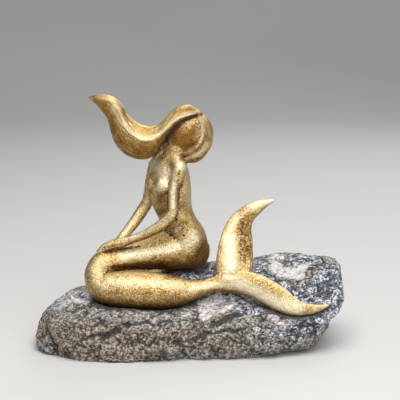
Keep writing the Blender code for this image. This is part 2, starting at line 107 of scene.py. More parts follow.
sweep = np.linspace(0, math.pi / 2, 13)
floor_end = SWEEP_START + SWEEP_RADIUS
depths = np.concatenate([[FLOOR_FRONT], SWEEP_START + SWEEP_RADIUS * np.sin(sweep), [floor_end]])
heights = np.concatenate([[0.0], SWEEP_RADIUS - SWEEP_RADIUS * np.cos(sweep), [WALL_TOP]])
floor_sides = (-FLOOR_HALF_WIDTH, FLOOR_HALF_WIDTH)
lines = np.stack([np.stack([np.full_like(depths, x), depths, heights], 1) for x in floor_sides])
count = len(depths)
strips = [(k, count + k, count + k + 1, k + 1) for k in range(count - 1)]
floor_mesh = bpy.data.meshes.new("floor")
floor_mesh.from_pydata(lines.reshape(-1, 3).tolist(), [], strips)
floor_mesh.polygons.foreach_set("use_smooth", [True] * (count - 1))
floor = bpy.data.objects.new("floor", floor_mesh)
bpy.context.collection.objects.link(floor)
floor_finish = bpy.data.materials.new("pale_floor")
floor_finish.use_nodes = True
floor_shader = floor_finish.node_tree.nodes["Principled BSDF"]
floor_shader.inputs["Base Color"].default_value = FLOOR_COLOUR
floor_shader.inputs["Roughness"].default_value = 0.9
floor_mesh.materials.append(floor_finish)
print("floor strips:", len(strips))

# %% Hang the lamps
SKY_COLOUR, SKY_STRENGTH = (0.90, 0.94, 1.0, 1), 0.40
LIT_POINT = Vector((0, 0, 0.1))
LAMPS = [
    # name, place, width, watts, colour
    ("key", (0.05, -0.60, 1.50), 1.2, 31.5, (1.0, 0.985, 0.96)),
    ("front", (0.6, -1.45, 0.7), 1.1, 12, (0.95, 0.97, 1.0)),
    ("back", (0.5, 1.1, 1.1), 1.0, 8, (0.95, 0.98, 1.0)),
]
for name, place, width, watts, colour in LAMPS:
    lamp = bpy.data.lights.new(name, "AREA")
    lamp.energy = watts
    lamp.size = width
    lamp.color = colour
    holder = bpy.data.objects.new(name, lamp)
    bpy.context.collection.objects.link(holder)
    holder.location = place
    holder.rotation_euler = (LIT_POINT - Vector(place)).to_track_quat("-Z", "Y").to_euler()

world = bpy.data.worlds.new("studio")
world.use_nodes = True
world.node_tree.nodes["Background"].inputs["Color"].default_value = SKY_COLOUR
world.node_tree.nodes["Background"].inputs["Strength"].default_value = SKY_STRENGTH
bpy.context.scene.world = world
bpy.context.scene.view_settings.view_transform = "Standard"
print("lamps:", [row[0] for row in LAMPS])

# %% [markdown]
# ## Lofts
#
# Limbs, tail and hair are all long soft forms. Each is given as a few stations along its
# length: a place, a half width and a half depth. A smooth curve runs through the stations,
# and an oval is carried along it. That is how a modeller rolls and pinches clay, and
# it leaves every size free to change. Points on the curve come from the Catmull-Rom rule.

# %% Curves through stations
SEAT_HEIGHT = 45 * MM
SEAT = np.array([0, 0, SEAT_HEIGHT])
FRONT = (0.0, -1.0, 0.0)
CHEST = (-0.81, -0.59, 0.0)
SHOULDER_LINE = (0.59, -0.81, 0.0)


def catmull_rom(a, b, c, d, t):
    """Cubic from b to c that leaves b with half the step from a to c and meets c with half of b to d."""
    bend = (2 * a - 5 * b + 4 * c - d) * t**2 + (3 * b - a - 3 * c + d) * t**3
    return 0.5 * (2 * b + (c - a) * t + bend)


def through(rows, steps):
    """Open curve through all rows, so many steps to a span, with a mirrored row beyond each end."""
    rows = np.array(rows, float)
    points = np.vstack([2 * rows[0] - rows[1], rows, 2 * rows[-1] - rows[-2]])
    t = (np.arange(steps) / steps)[None, :, None]
    curve = catmull_rom(*(points[k : len(points) - 3 + k, None] for k in range(4)), t)
    return np.vstack([curve.reshape(-1, rows.shape[1]), rows[-1:]])


def around(corners, sides):
    """Closed curve through a section's corners, the same on every ring."""
    count = corners.shape[1]
    place = np.arange(sides) * count / sides
    index = place.astype(int)
    t = (place - index)[None, :, None]
    return catmull_rom(*(corners[:, (index + k) % count] for k in (-1, 0, 1, 2)), t)


def unit(vectors):
    """Vectors divided by their own length."""
    return vectors / np.maximum(np.linalg.norm(vectors, axis=-1, keepdims=True), 1e-12)


print("a curve through three points:", through([(0, 0), (1, 1), (2, 0)], 2).round(2).tolist())

# %% Carry an oval along a curve
def spine(rows, depth, steps, softenings=2):
    """Centre line, its direction, the direction across and the one in depth, and all the columns."""
    ring = through(rows, steps)
    centre = ring[:, :3] * MM + SEAT
    along = np.gradient(centre, axis=0)
    for _ in range(softenings):
        along[1:-1] = (along[:-2] + 2 * along[1:-1] + along[2:]) / 4
    along = unit(along)
    depth = np.array(depth, float)
    deep = unit(depth - along * (along @ depth)[:, None])
    return centre, along, unit(np.cross(along, deep)), deep, ring


def skin(points):
    """Vertices and faces of a tube of rings, closed by a fan at each end."""
    rings, sides = points.shape[:2]
    i, j = np.meshgrid(np.arange(rings - 1), np.arange(sides), indexing="ij")
    k = (j + 1) % sides
    quads = np.stack([i * sides + j, i * sides + k, (i + 1) * sides + k, (i + 1) * sides + j], 2)
    faces = quads.reshape(-1, 4).tolist()
    start, end, last = rings * sides, rings * sides + 1, (rings - 1) * sides
    faces += [[start, (s + 1) % sides, s] for s in range(sides)]
    faces += [[end, last + s, last + (s + 1) % sides] for s in range(sides)]
    return np.vstack([points.reshape(-1, 3), points[:1].mean(1), points[-1:].mean(1)]), faces


def rounded(points, centre, start, end, angles):
    """Rings past both ends: the end ring shrinks by the cosine of each angle and moves out by its sine."""
    q = np.radians(angles)[:, None, None]
    near = centre[0] + (points[0] - centre[0]) * np.cos(q) + start * np.sin(q)
    far = centre[-1] + (points[-1] - centre[-1]) * np.cos(q) + end * np.sin(q)
    return skin(np.vstack([near[::-1], points, far]))


def limb(rows, depth, steps=6, sides=32):
    """Centre line plus cosine times half width and sine times half depth, rounded over at both ends."""
    centre, along, across, deep, ring = spine(rows, depth, steps)
    size = ring[:, None, 3:5] * MM
    turn = np.linspace(0, 2 * math.pi, sides, endpoint=False)[:, None]
    points = centre[:, None] + across[:, None] * (np.cos(turn) * size[..., :1])
    points = points + deep[:, None] * (np.sin(turn) * size[..., 1:])
    start, end = -along[0] * size[0].min(), along[-1] * size[-1].min()
    return rounded(points, centre, start, end, (30, 60, 80))


def egg(centre, axes, radii, rings=20, sides=32):
    """Ball: sine and cosine of two angles, stretched by three radii along three axes."""
    up = np.linspace(0.06, math.pi - 0.06, rings)
    turn = np.linspace(0, 2 * math.pi, sides, endpoint=False)
    up, turn = np.meshgrid(up, turn, indexing="ij")
    ball = np.stack([np.sin(up) * np.cos(turn), np.sin(up) * np.sin(turn), np.cos(up)], 2)
    return skin(np.array(centre) + (ball * np.array(radii)) @ unit(np.array(axes, float)))


print("a test limb has", len(limb([(0, 0, 0, 5, 5), (0, 0, 30, 5, 5)], FRONT)[0]), "points")

# %% [markdown]
# ## Stations of the casting
#
# The numbers are millimetres: x, y, height above the seat, half width, half depth. Thigh,
# knee and lower tail are one run, because on the real figure the tail folds round at the
# knee and goes on to the fork of the fluke.

# %% Body, arms and tail
TORSO = [
    (-16, 2, 156, 9, 8), (-18, 1, 147, 19, 12), (-19.5, 1, 138, 24, 16), (-20, 1, 127, 25, 18.5),
    (-19.5, 1, 117, 25, 19), (-18.5, 1, 107, 23.5, 19), (-16.5, 2, 98, 21, 18),
    (-14, 3, 90, 20.5, 16.5), (-10, 6, 79, 22.5, 17), (-6, 9, 67, 25, 20.5),
    (-4.5, 11, 56, 25.5, 22.5),
]
NECK = [(-19, 1, 146, 15, 10), (-16, 0, 155, 13, 10), (-12, -1, 163, 13, 10), (-7, -2, 171, 12, 10)]
NAPE = [
    (-31, 4, 137, 8.5, 9), (-28, 4, 149, 8.5, 8), (-21, 3, 158, 8.5, 8), (-14, 1, 168, 9, 8),
    (-10, 0, 178, 9, 8),
]
SHOULDERS = [(-35, 20, 137, 7, 7), (-19, 1, 145, 9, 9), (-9, -19, 142, 7.5, 7.5)]
TAIL = [
    (2, 11, 50, 19, 22), (-20, 9, 54, 23, 24), (-40, 6, 51, 18, 21.5), (-60, 2, 48, 14.5, 18.5),
    (-78, -4, 45, 12.5, 16), (-88, -9, 40, 13, 15), (-91.5, -14, 30.5, 14, 15),
    (-86, -20, 21.5, 15.5, 16), (-76, -24, 20, 17.5, 17), (-62, -26, 19.5, 19, 17.5),
    (-43, -27, 19, 19, 17), (-25, -27, 18, 18, 16), (-13, -27, 18, 15.5, 13.5),
    (-2, -26, 18.5, 12, 10.5), (10, -25, 20.5, 8.5, 8), (19, -25, 23, 8, 7),
    (28, -25, 26, 9, 6.5), (42, -25, 29, 13, 6),
]
WEB = [(-82, -8, 33, 6, 7), (-60, 0, 31, 6, 8), (-40, 3, 31, 5, 7), (-20, 6, 33, 4, 6)]
FLUKE_UP = [
    (41, -26, 22, 11, 5), (43.5, -24, 35, 17.5, 6), (45, -20, 51, 18.3, 5.5),
    (46.5, -16, 65, 16.8, 5), (49.5, -11, 80, 13.5, 4.5), (57.5, -7, 91.5, 9.5, 3.6),
    (69.5, -4, 99.5, 6.3, 2.8), (84, -2, 105, 1.3, 1.1),
]
FLUKE_DOWN = [
    (33, -25, 29, 8, 5), (45, -26, 28, 11.8, 5.5), (57, -27, 26.3, 12.3, 5),
    (72, -30, 21.3, 12.7, 4.6), (87.5, -34, 12.8, 12.6, 4.2), (99, -37, 6.3, 10.4, 3.6),
    (111, -38, 3, 7.4, 2.9), (125, -37, 3.2, 4.7, 2.2), (138, -35, 6.5, 1.3, 1.1),
]
NEAR_ARM = [
    (-9, -20, 142, 7.5, 7), (-12, -22, 131, 6, 6), (-15, -23, 120, 5, 5.5),
    (-16, -24, 108, 4.9, 5.5), (-17, -25, 96, 5.6, 5.6), (-28, -24, 84.5, 5.8, 5.4),
    (-42, -21, 75.5, 4.8, 4.6), (-56, -17, 69, 4.3, 4), (-67, -14.5, 65, 5.4, 4.5),
    (-77, -13.5, 61.5, 5.6, 4.4), (-85, -13, 58, 4.8, 3.8), (-90.5, -13, 55, 3, 2.6),
]
FAR_ARM = [
    (-34, 20, 136, 8, 7.5), (-38, 21, 122, 7, 7), (-40.5, 21, 109, 6.3, 6.2), (-43, 20, 99, 6.1, 6),
    (-48.5, 18, 90, 6.1, 6), (-56, 13, 79.5, 5.8, 5.5), (-64, 5, 70, 5.2, 5),
    (-71, -3, 62.5, 5.0, 4.8), (-79, -9, 57.5, 4.4, 4.2), (-86, -14, 54, 2.8, 2.6),
]
FACING_FRONT = (TAIL, WEB, FLUKE_UP, FLUKE_DOWN, NEAR_ARM, FAR_ARM, NAPE)
print("stations:", sum(map(len, (TORSO, NECK, SHOULDERS, *FACING_FRONT))))

# %% [markdown]
# ## Hair
#
# The hair is a hood rolled round the back of the head and one long wave blown to the left.
# The wave isn't round: it has a narrow top edge, a ridge that faces the viewer, and a broad
# flat side below the ridge. It bends too sharply for a section square to its centre line, so
# it is spanned between two edges, the top and the bottom one, like a ribbon with a belly.

# %% Stations of the hair
HAIR_ROLL = [
    (9, -5, 192.5, 3, 4.5), (14, -5, 185.5, 5, 7), (17, -2, 176, 6.6, 9), (15.5, 0, 167, 8, 10),
    (12, 1, 159, 8.5, 10), (4, 1, 151, 8.6, 9), (-5, 3, 149, 6.5, 7),
]
BROW_SEAM = [
    (12.5, -7, 188, 2.4, 4), (14, -7, 180, 3, 5), (11.5, -6, 168, 3.6, 6), (5, -6, 159, 4, 6),
    (-4, -5, 155, 4, 6),
]
HAIR_WAVE = [
    # top edge x and height, bottom edge x and height, y, half depth, ridge
    (-97.1, 210.7, -97.1, 208.8, -15, 1, 0.23), (-90.6, 212.4, -93.9, 205.5, -15, 3, 0.34),
    (-84.1, 212.9, -88.8, 200.9, -14.5, 4.6, 0.44), (-77.2, 212.0, -83.8, 194.7, -14, 6, 0.59),
    (-71.1, 208.9, -79.7, 187.7, -13.5, 7.2, 0.66), (-65.1, 202.7, -78.0, 180.5, -13, 8.2, 0.64),
    (-60.1, 193.9, -76.4, 174.1, -12.5, 9, 0.57), (-54.0, 186.9, -73.4, 165.1, -12, 9.8, 0.43),
    (-47.3, 182.8, -67.3, 156.3, -11, 10.6, 0.34), (-40.8, 181.0, -57.6, 149.7, -10, 11.2, 0.29),
    (-34.7, 181.2, -45.1, 147.5, -9.5, 11.5, 0.27), (-29.0, 183.9, -35.7, 150.8, -9.5, 11.5, 0.29),
    (-23.0, 190.0, -25.6, 164.7, -9.5, 11, 0.06), (-16.1, 196.9, -17.1, 175.5, -9, 10.5, -0.11),
    (-8.8, 201.3, -9.7, 182.7, -8.5, 10, -0.22), (-1.5, 202.2, -2.0, 187.3, -7.5, 8.5, -0.33),
    (5.3, 199.5, 5.1, 189.9, -6.5, 6.5, -0.33), (11.3, 194.9, 10.7, 191.7, -5.5, 3.5, 0.04),
]
print("stations of the wave:", len(HAIR_WAVE))

# %% Span the wave between its edges
def edges_of(rows, steps):
    """Middle, half gap from bottom edge to top edge, and all the columns, along the smooth run."""
    ring = through(rows, steps)
    top = np.stack([ring[:, 0], ring[:, 4], ring[:, 1]], 1)
    bottom = np.stack([ring[:, 2], ring[:, 4], ring[:, 3]], 1)
    middle = (top + bottom) / 2 * MM + SEAT
    return middle, (top - bottom) / 2 * MM, ring


def ribbon(rows, steps=6, sides=60):
    """Rings spanned by both edges and the viewed side: top edge at +1, ridge in front, bottom at -1."""
    middle, half, ring = edges_of(rows, steps)
    r = ring[:, 6:7]
    one = np.ones_like(r)
    across = np.hstack([one, 0.84 * one, r + 0.45 * (1 - r), r + 0.14 * (1 - r), r, r - 0.14 * (1 + r),
                        r - 0.55 * (1 + r), -one, -0.6 * one, 0.5 * one])
    deep = np.hstack([one * k for k in (-0.1, 0.32, 0.66, 0.93, 1, 0.95, 0.62, -0.05, -0.7, -0.78)])
    shape = around(np.stack([across, deep], 2), sides)
    front = np.array(FRONT) * ring[:, 5:6] * MM
    points = middle[:, None] + half[:, None] * shape[:, :, :1] + front[:, None] * shape[:, :, 1:]
    start, end = unit(np.stack([middle[0] - middle[1], middle[-1] - middle[-2]])) * MM
    return rounded(points, middle, start, 2 * end, (35, 65, 82))


print("points in the wave:", len(ribbon(HAIR_WAVE)[0]))

# %% [markdown]
# ## One skin
#
# The casting is one solid, so the overlapping lofts have to become one surface with soft
# joins. A Boolean union would leave hard seams. A voxel remesh grows one even skin round
# all of them, and a few turns of smoothing round the joins off, as metal leaf over
# a worn mould does. The even grid also gives the fine relief enough points.

# %% Join shells and grow one skin
VOXEL = 1.0 * MM


def above_seat(place):
    """A place in millimetres from the middle of the seat, as metres in the frame."""
    return np.array(place) * MM + SEAT


def object_from(name, shells):
    """One mesh object holding all the given shells."""
    starts = np.cumsum([0] + [len(points) for points, _ in shells])
    mesh = bpy.data.meshes.new(name)
    faces = [[int(start) + v for v in face] for start, (_, part) in zip(starts, shells) for face in part]
    mesh.from_pydata(np.vstack([points for points, _ in shells]).tolist(), [], faces)
    thing = bpy.data.objects.new(name, mesh)
    bpy.context.collection.objects.link(thing)
    return thing


def grow_together(thing, voxel, turns):
    """Voxel remesh, then smoothing, both applied to the mesh."""
    remesh = thing.modifiers.new("skin", "REMESH")
    remesh.mode = "VOXEL"
    remesh.voxel_size = voxel
    smooth = thing.modifiers.new("soften", "SMOOTH")
    smooth.factor = 0.5
    smooth.iterations = turns
    bpy.context.view_layer.update()
    mesh = bpy.data.meshes.new_from_object(thing.evaluated_get(bpy.context.evaluated_depsgraph_get()))
    thing.modifiers.clear()
    thing.data = mesh
    mesh.polygons.foreach_set("use_smooth", [True] * len(mesh.polygons))
    print(thing.name, "has", len(mesh.vertices), "points and", 2 * len(mesh.polygons), "triangles")


print("voxels of", round(VOXEL / MM, 2), "mm")

# %% Grow the casting
UP = (0, 0, 1)
BREAST_MIDDLE, BREAST_RADII = (-20, 1, 122), np.array([8.5, 9, 9.5]) * MM
BREAST_FORWARD, BREAST_APART = 13 * MM, 9 * MM
HEAD_MIDDLE, HEAD_RADII = (-3, -2, 174), np.array([18, 13, 22]) * MM
HOOD_MIDDLE, HOOD_RADII = (-3.5, 7, 172), np.array([22, 13, 24]) * MM
HEAD_TILT = unit(np.array([0.62, 0.0, 0.78]))
bust = above_seat(BREAST_MIDDLE) + np.array(CHEST) * BREAST_FORWARD
apart = np.array(SHOULDER_LINE) * BREAST_APART
figure = object_from("figure_skin", [
    limb(TORSO, CHEST), limb(NECK, CHEST), limb(SHOULDERS, UP),
    *(limb(rows, FRONT) for rows in (*FACING_FRONT, HAIR_ROLL, BROW_SEAM)), ribbon(HAIR_WAVE),
    *(egg(bust + way * apart, (CHEST, SHOULDER_LINE, UP), BREAST_RADII) for way in (1, -1)),
    egg(above_seat(HEAD_MIDDLE), (np.cross(HEAD_TILT, FRONT), FRONT, HEAD_TILT), HEAD_RADII),
    egg(above_seat(HOOD_MIDDLE), ((1, 0, 0), (0, 1, 0), UP), HOOD_RADII),
])
grow_together(figure, VOXEL, 7)

# %% [markdown]
# ## Tools for relief
#
# Fine relief is moved into the surface along its normals. Three measures steer it: smooth
# noise, closeness to a line drawn where the picture shows a crease, and how hollow
# the surface is at a point. Each is worked out for all points at once.

# %% Noise
def lattice(cells, seed):
    """A repeatable number between -1 and 1 for every whole cell, by mixing its three indices."""
    mixed = cells[..., 0] * 73856093 ^ cells[..., 1] * 19349663 ^ cells[..., 2] * 83492791
    mixed = (mixed + seed * 2654435761) & 0xFFFFFFFF
    mixed = ((mixed ^ (mixed >> 15)) * 2246822519) & 0xFFFFFFFF
    mixed = ((mixed ^ (mixed >> 13)) * 3266489917) & 0xFFFFFFFF
    return ((mixed ^ (mixed >> 16)) & 0xFFFF) / 32767.5 - 1


def lumps(points, size, seed):
    """Value noise: the eight cell corners blended by a smooth step, for lumps of about one size."""
    place = points / size
    base = np.floor(place).astype(np.int64)
    part = place - base
    part = part * part * (3 - 2 * part)
    total = np.zeros(points.shape[:-1])
    for corner in np.ndindex(2, 2, 2):
        weight = np.prod(np.where(np.array(corner) == 1, part, 1 - part), axis=-1)
        total = total + weight * lattice(base + np.array(corner), seed)
    return total


def ramp(values, low, high):
    """0 below low, 1 above high and a smooth step between them."""
    t = np.clip((values - low) / (high - low), 0, 1)
    return t * t * (3 - 2 * t)


def layered(points, layers):
    """Sum of noises: each layer has a height and a size in millimetres, and a seed."""
    return sum(height * MM * lumps(points, np.array(size) * MM, seed) for height, size, seed in layers)


print("noise at three places:", lumps(np.array([[0.2, 0, 0], [0.5, 0, 0], [0.8, 0, 0]]), 1, 1).round(2))

# %% Lines drawn in the picture
def off_line(seen, path):
    """Distance to the nearest stretch of a line: square to the stretch, or to the end it falls past."""
    nearest = np.full(len(seen), np.inf)
    for start, end in zip(path[:-1], path[1:]):
        step = end - start
        t = np.clip((seen - start) @ step / (step @ step), 0, 1)
        nearest = np.minimum(nearest, np.linalg.norm(seen - start - t[:, None] * step, axis=1))
    return nearest


def drawn(points, normals, path, width):
    """1 on a line of the picture, falling to 0 at its width in pixels, on what faces the viewer."""
    nearest = off_line(in_picture(points), np.array(path, float))
    return (1 - ramp(nearest, 0, width)) * ramp(normals @ -LOOK, 0.0, 0.3)


def painted(mask, strokes, points, normals):
    """The largest of a mask and all strokes of a table, each times its own strength."""
    for strength, width, path in strokes:
        mask = np.maximum(mask, strength * drawn(points, normals, path, width))
    return mask


trial_line = np.array([[0.0, 0], [9, 0]])
print("on a line, and 5 pixels off it:", off_line(np.array([[1.0, 0], [1, 5]]), trial_line))

# %% Surfaces as arrays, and their hollows
def read_surface(thing):
    """Points, normals and edges of a mesh as arrays."""
    mesh = thing.data
    points = np.empty(len(mesh.vertices) * 3)
    normals = np.empty(len(mesh.vertices) * 3)
    edges = np.empty(len(mesh.edges) * 2, np.int32)
    mesh.vertices.foreach_get("co", points)
    mesh.vertices.foreach_get("normal", normals)
    mesh.edges.foreach_get("vertices", edges)
    return points.reshape(-1, 3), normals.reshape(-1, 3), edges.reshape(-1, 2)


def move_to(thing, points):
    """Put the points of a mesh in new places, and read its surface again."""
    thing.data.vertices.foreach_set("co", points.ravel())
    thing.data.update()
    return read_surface(thing)


def neighbour_mean(points, edges):
    """Sum of the points at the far ends of a point's edges, divided by the number of its edges."""
    total = np.stack([
        np.bincount(edges[:, 0], points[edges[:, 1], k], len(points))
        + np.bincount(edges[:, 1], points[edges[:, 0], k], len(points)) for k in range(3)], 1)
    return total / np.maximum(np.bincount(edges.ravel(), minlength=len(points)), 1)[:, None]


def hollows(points, normals, edges, turns):
    """Height of the smoothed surface over the real one: above 0 in a hollow, below 0 on a crest."""
    soft = points
    for _ in range(turns):
        soft = 0.5 * soft + 0.5 * neighbour_mean(soft, edges)
    return ((soft - points) * normals).sum(1)


def keep(thing, name, values):
    """Store one number a point, for the material to read."""
    numbers = thing.data.attributes.new(name, "FLOAT", "POINT")
    numbers.data.foreach_set("value", np.asarray(values, np.float32))


place, normal, edge = read_surface(figure)
print("figure spans", np.round((place.max(0) - place.min(0)) / MM, 1), "mm")

# %% [markdown]
# ## Softer joins
#
# Where torso, breasts, shoulder and hip meet, the real figure flows from one form into
# the next. Points there are moved to the middle of their neighbours again and again, each
# by its own share, so the rest of the skin keeps its shape.

# %% Flow the torso together
def soften(points, edges, share, turns, inward=0.5, outward=-0.44):
    """Each turn moves a point by its share towards the mean of its neighbours, then by less back out."""
    for turn in range(turns):
        strength = inward if turn % 2 == 0 else outward
        points = points + share[:, None] * strength * (neighbour_mean(points, edges) - points)
    return points


def egg_distance(points, centre, radii):
    """Distance from an egg's middle, measured in its radii: 1 on its skin."""
    return np.linalg.norm((points - np.array(centre) * MM - SEAT) / (np.array(radii) * MM), axis=1)


def ball(points, centre, radii, solid=0.6):
    """1 inside the solid share of an egg, 0 outside the egg, smooth between."""
    return ramp(-egg_distance(points, centre, radii), -1.0, -solid)


loose = np.maximum.reduce([
    ball(place, (-17, -8, 138), (26, 24, 34), 0.75), ball(place, (-4, 2, 62), (26, 30, 26)),
    ball(place, (44, -24, 34), (24, 14, 14)), ball(place, (-10, -14, 158), (20, 14, 14)),
])
place, normal, edge = move_to(figure, soften(place, edge, loose, 110))
print("points softened:", int((loose > 0.1).sum()))

# %% [markdown]
# ## Strands
#
# The hair has fine grooves that follow its flow. Each point of the wave is matched to the
# ring of the ribbon that passes nearest. Its height between the two edges and its
# distance along the run are then the two parameters of the grooves: quick change across
# the run, slow change along it. On the hood the angle round its centre line does the same.

# %% Find places along the hair
def on_ribbon(points, rows):
    """For each point: height between the edges from -1 to 1, length along the run, front side, how near."""
    middle, half, ring = edges_of(rows, 6)
    plan = [0, 2]
    width = np.linalg.norm(half[:, plan], axis=1)
    up = half[:, plan] / width[:, None]
    way = np.stack([up[:, 1], -up[:, 0]], 1)
    length = np.append(0, np.cumsum(np.linalg.norm(np.diff(middle, axis=0), axis=1)))
    local = points[:, None, plan] - middle[None, :, plan]
    high = (local * up).sum(2) / width
    off = (local * way).sum(2)
    near = (np.abs(off) + 10 * MM * np.maximum(np.abs(high) - 1.05, 0)).argmin(1)
    pick = np.arange(len(points)), near
    deep = (points[:, 1] - middle[near, 1]) / (ring[near, 5] * MM)
    return high[pick], length[near] + off[pick], deep, np.abs(off[pick]), ring[near, 6]


def beside(points, rows):
    """For each point: distance to a loft's skin in half widths, and the angle round its centre line."""
    centre, _, across, deep, ring = spine(rows, FRONT, 8)
    near = ((points[:, None] - centre[None]) ** 2).sum(2).argmin(1)
    local = points - centre[near]
    a = (local * across[near]).sum(1) / (ring[near, 3] * MM)
    b = (local * deep[near]).sum(1) / (ring[near, 4] * MM)
    return np.hypot(a, b) - 1, np.arctan2(b, a)


gap = beside(above_seat([HEAD_MIDDLE]), HAIR_ROLL)[0]
print("from the middle of the head to the hood's roll:", gap.round(1), "half widths")

# %% Comb the hair
HAIR_START = 186 * MM
WAVE_GIRTH, ROLL_GIRTH, FLOW_STRETCH = 13 * MM, 9 * MM, 14
head = np.flatnonzero(place[:, 2] > HAIR_START)
high, run, deep, off, ridge = on_ribbon(place[head], HAIR_WAVE)
roll_gap, roll_turn = beside(place[head], HAIR_ROLL)
face = ramp(-egg_distance(place[head], HEAD_MIDDLE, (18, 14, 22)), -1.12, -1.0)
wave_part = ramp(high, -1.08, -0.98) * ramp(-np.abs(deep), -1.25, -1.1) * ramp(-off, -3 * MM, -1.5 * MM)
roll_part = ramp(-roll_gap, -0.3, -0.15) * (1 - wave_part)
hair, strands, below, on_ridge = (np.zeros(len(place)) for _ in range(4))
hair[head] = np.maximum(wave_part, roll_part)
girth = np.where(wave_part > 0.5, high * WAVE_GIRTH + 0.2 * (deep > 0), roll_turn * ROLL_GIRTH)
flow = np.stack([girth, run / FLOW_STRETCH, 0 * run], 1)
strands[head] = 0.6 * lumps(flow, 2.2 * MM, 31) + 0.4 * lumps(flow, 1.3 * MM, 32)
below[head] = wave_part * ramp(ridge - high, 0.02, 0.30) * ramp(deep, -0.9, -0.5)
combed = place.copy()
combed[head] = np.where(hair[head, None] > 0.5, flow, combed[head])
on_ridge[head] = wave_part * (1 - ramp(np.abs(high - ridge - 0.16), 0.02, 0.30)) * ramp(deep, 0.1, 0.5)
print("share of the skin that is hair:", round(float(hair.mean()), 3))

# %% [markdown]
# ## Creases, fingers and pits
#
# The mould has sharper places than the lofts: the fold of hair over the brow, the seam
# between the near arm and the back, the hollow at the elbow, the fingers, and small pits
# on hip and thigh. They are drawn as lines and dots of the picture and pressed in, with
# noise that breaks them up as a hand would.

# %% Press in the creases
CREASES = [
    # depth in mm, below 0 for a raised lock, width in pixels, points in the picture
    (0.7, 3.0, [(202, 114), (190, 118.5), (179, 125), (171, 134), (162, 145), (154, 155)]),
    (0.55, 2.4, [(179, 172), (178.5, 185), (178, 200), (177.5, 214), (176, 222)]),
    (0.9, 7.0, [(184, 226), (177, 230), (168, 233)]),
    (0.5, 1.5, [(101, 249), (107, 247.5), (114, 246)]),
    (0.9, 2.0, [(103, 252.5), (109, 251.5), (115, 248.5), (127, 248), (139, 246)]),
    (0.8, 2.6, [(113, 267.5), (122, 267), (135, 267.5), (150, 269)]),
    (-0.6, 1.5, [(150, 159), (157, 151.5), (166, 143)]),
    (-0.4, 1.3, [(155, 158.5), (161, 152), (166, 148)]),
    (1.3, 11, [(243, 214), (244, 228), (245, 243), (246, 256)]),
    (0.6, 5, [(214, 279), (224, 275.5), (236, 274)]),
    (0.8, 8, [(192, 262), (200, 254), (205, 244)]),
]
PIT_DEPTH, PIT_RIM, PIT_LENGTH = 0.7 * MM, 0.05 * MM, np.array([0.8, 0.4])
PITS = [
    # across and down in the picture, and width in pixels
    (183, 235.5, 1.6), (184.5, 239, 1.2), (155, 257, 2.2), (152.5, 259, 1.4), (134, 260.5, 1.5),
    (117.5, 276.5, 1.4), (174, 181, 1.2), (176, 176, 1.4), (197, 158.5, 2.0), (176.5, 190, 1.3),
    (186, 244, 1.0), (160, 255, 1.2),
]
NARROW = 3
RIPPLES, COMB_DEPTH = [(0.22, 8, 41), (0.14, 3.4, 42)], 0.15 * MM
FULL_CREASE, FULL_HOLLOW = 0.30 * MM, 2.2 * MM
broken = 0.75 + 0.5 * lumps(place, 2.4 * MM, 44)
press, cut = np.zeros(len(place)), np.zeros(len(place))
for depth, width, path in CREASES:
    mark = depth * MM * drawn(place, normal, path, width)
    cut = np.maximum(cut, mark * broken * min(1, NARROW / width))
    press = press + np.where(depth > 0, mark * broken, mark) * (np.abs(mark) > np.abs(press))
for *start, width in PITS:
    mark = PIT_DEPTH * drawn(place, normal, [start, start + PIT_LENGTH], width) * broken
    cut = np.maximum(cut, mark)
    press = np.where(mark > PIT_RIM, np.maximum(press, mark), press)
raised = layered(place, RIPPLES) + COMB_DEPTH * strands * hair - press
moved = place + normal * raised[:, None]
place, normal, edge = move_to(figure, np.clip(moved, *map(np.array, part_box("mermaid_figure"))))
hollow = hollows(place, normal, edge, 10) / FULL_CREASE
wide = hollows(place, normal, edge, 80) / FULL_HOLLOW
recess = np.clip(0.5 * np.clip(hollow, 0, 1) + 0.7 * np.clip(wide, 0, 1) + 0.8 * cut / MM, 0, 1)
print("deepest crease", round(float(press.max() / MM), 2), "mm, mean recess", round(float(recess.mean()), 3))

# %% [markdown]
# ## Where the brown wash and painted shade lie
#
# An antique gilding is toned with a brown wash that is wiped off again. Here the same brown is
# painted shade as well: it lies on faces that look down, under overhangs, on the face, on the
# flat side of the hair and in the corners. Hands and cloths rub it off where a form stands out,
# and the pale rubbed leaf there is also a painted highlight: along the thigh, the tail, the lobes,
# the arm and the ridge of the hair. Both are soft masks, kept with the mesh for the material.

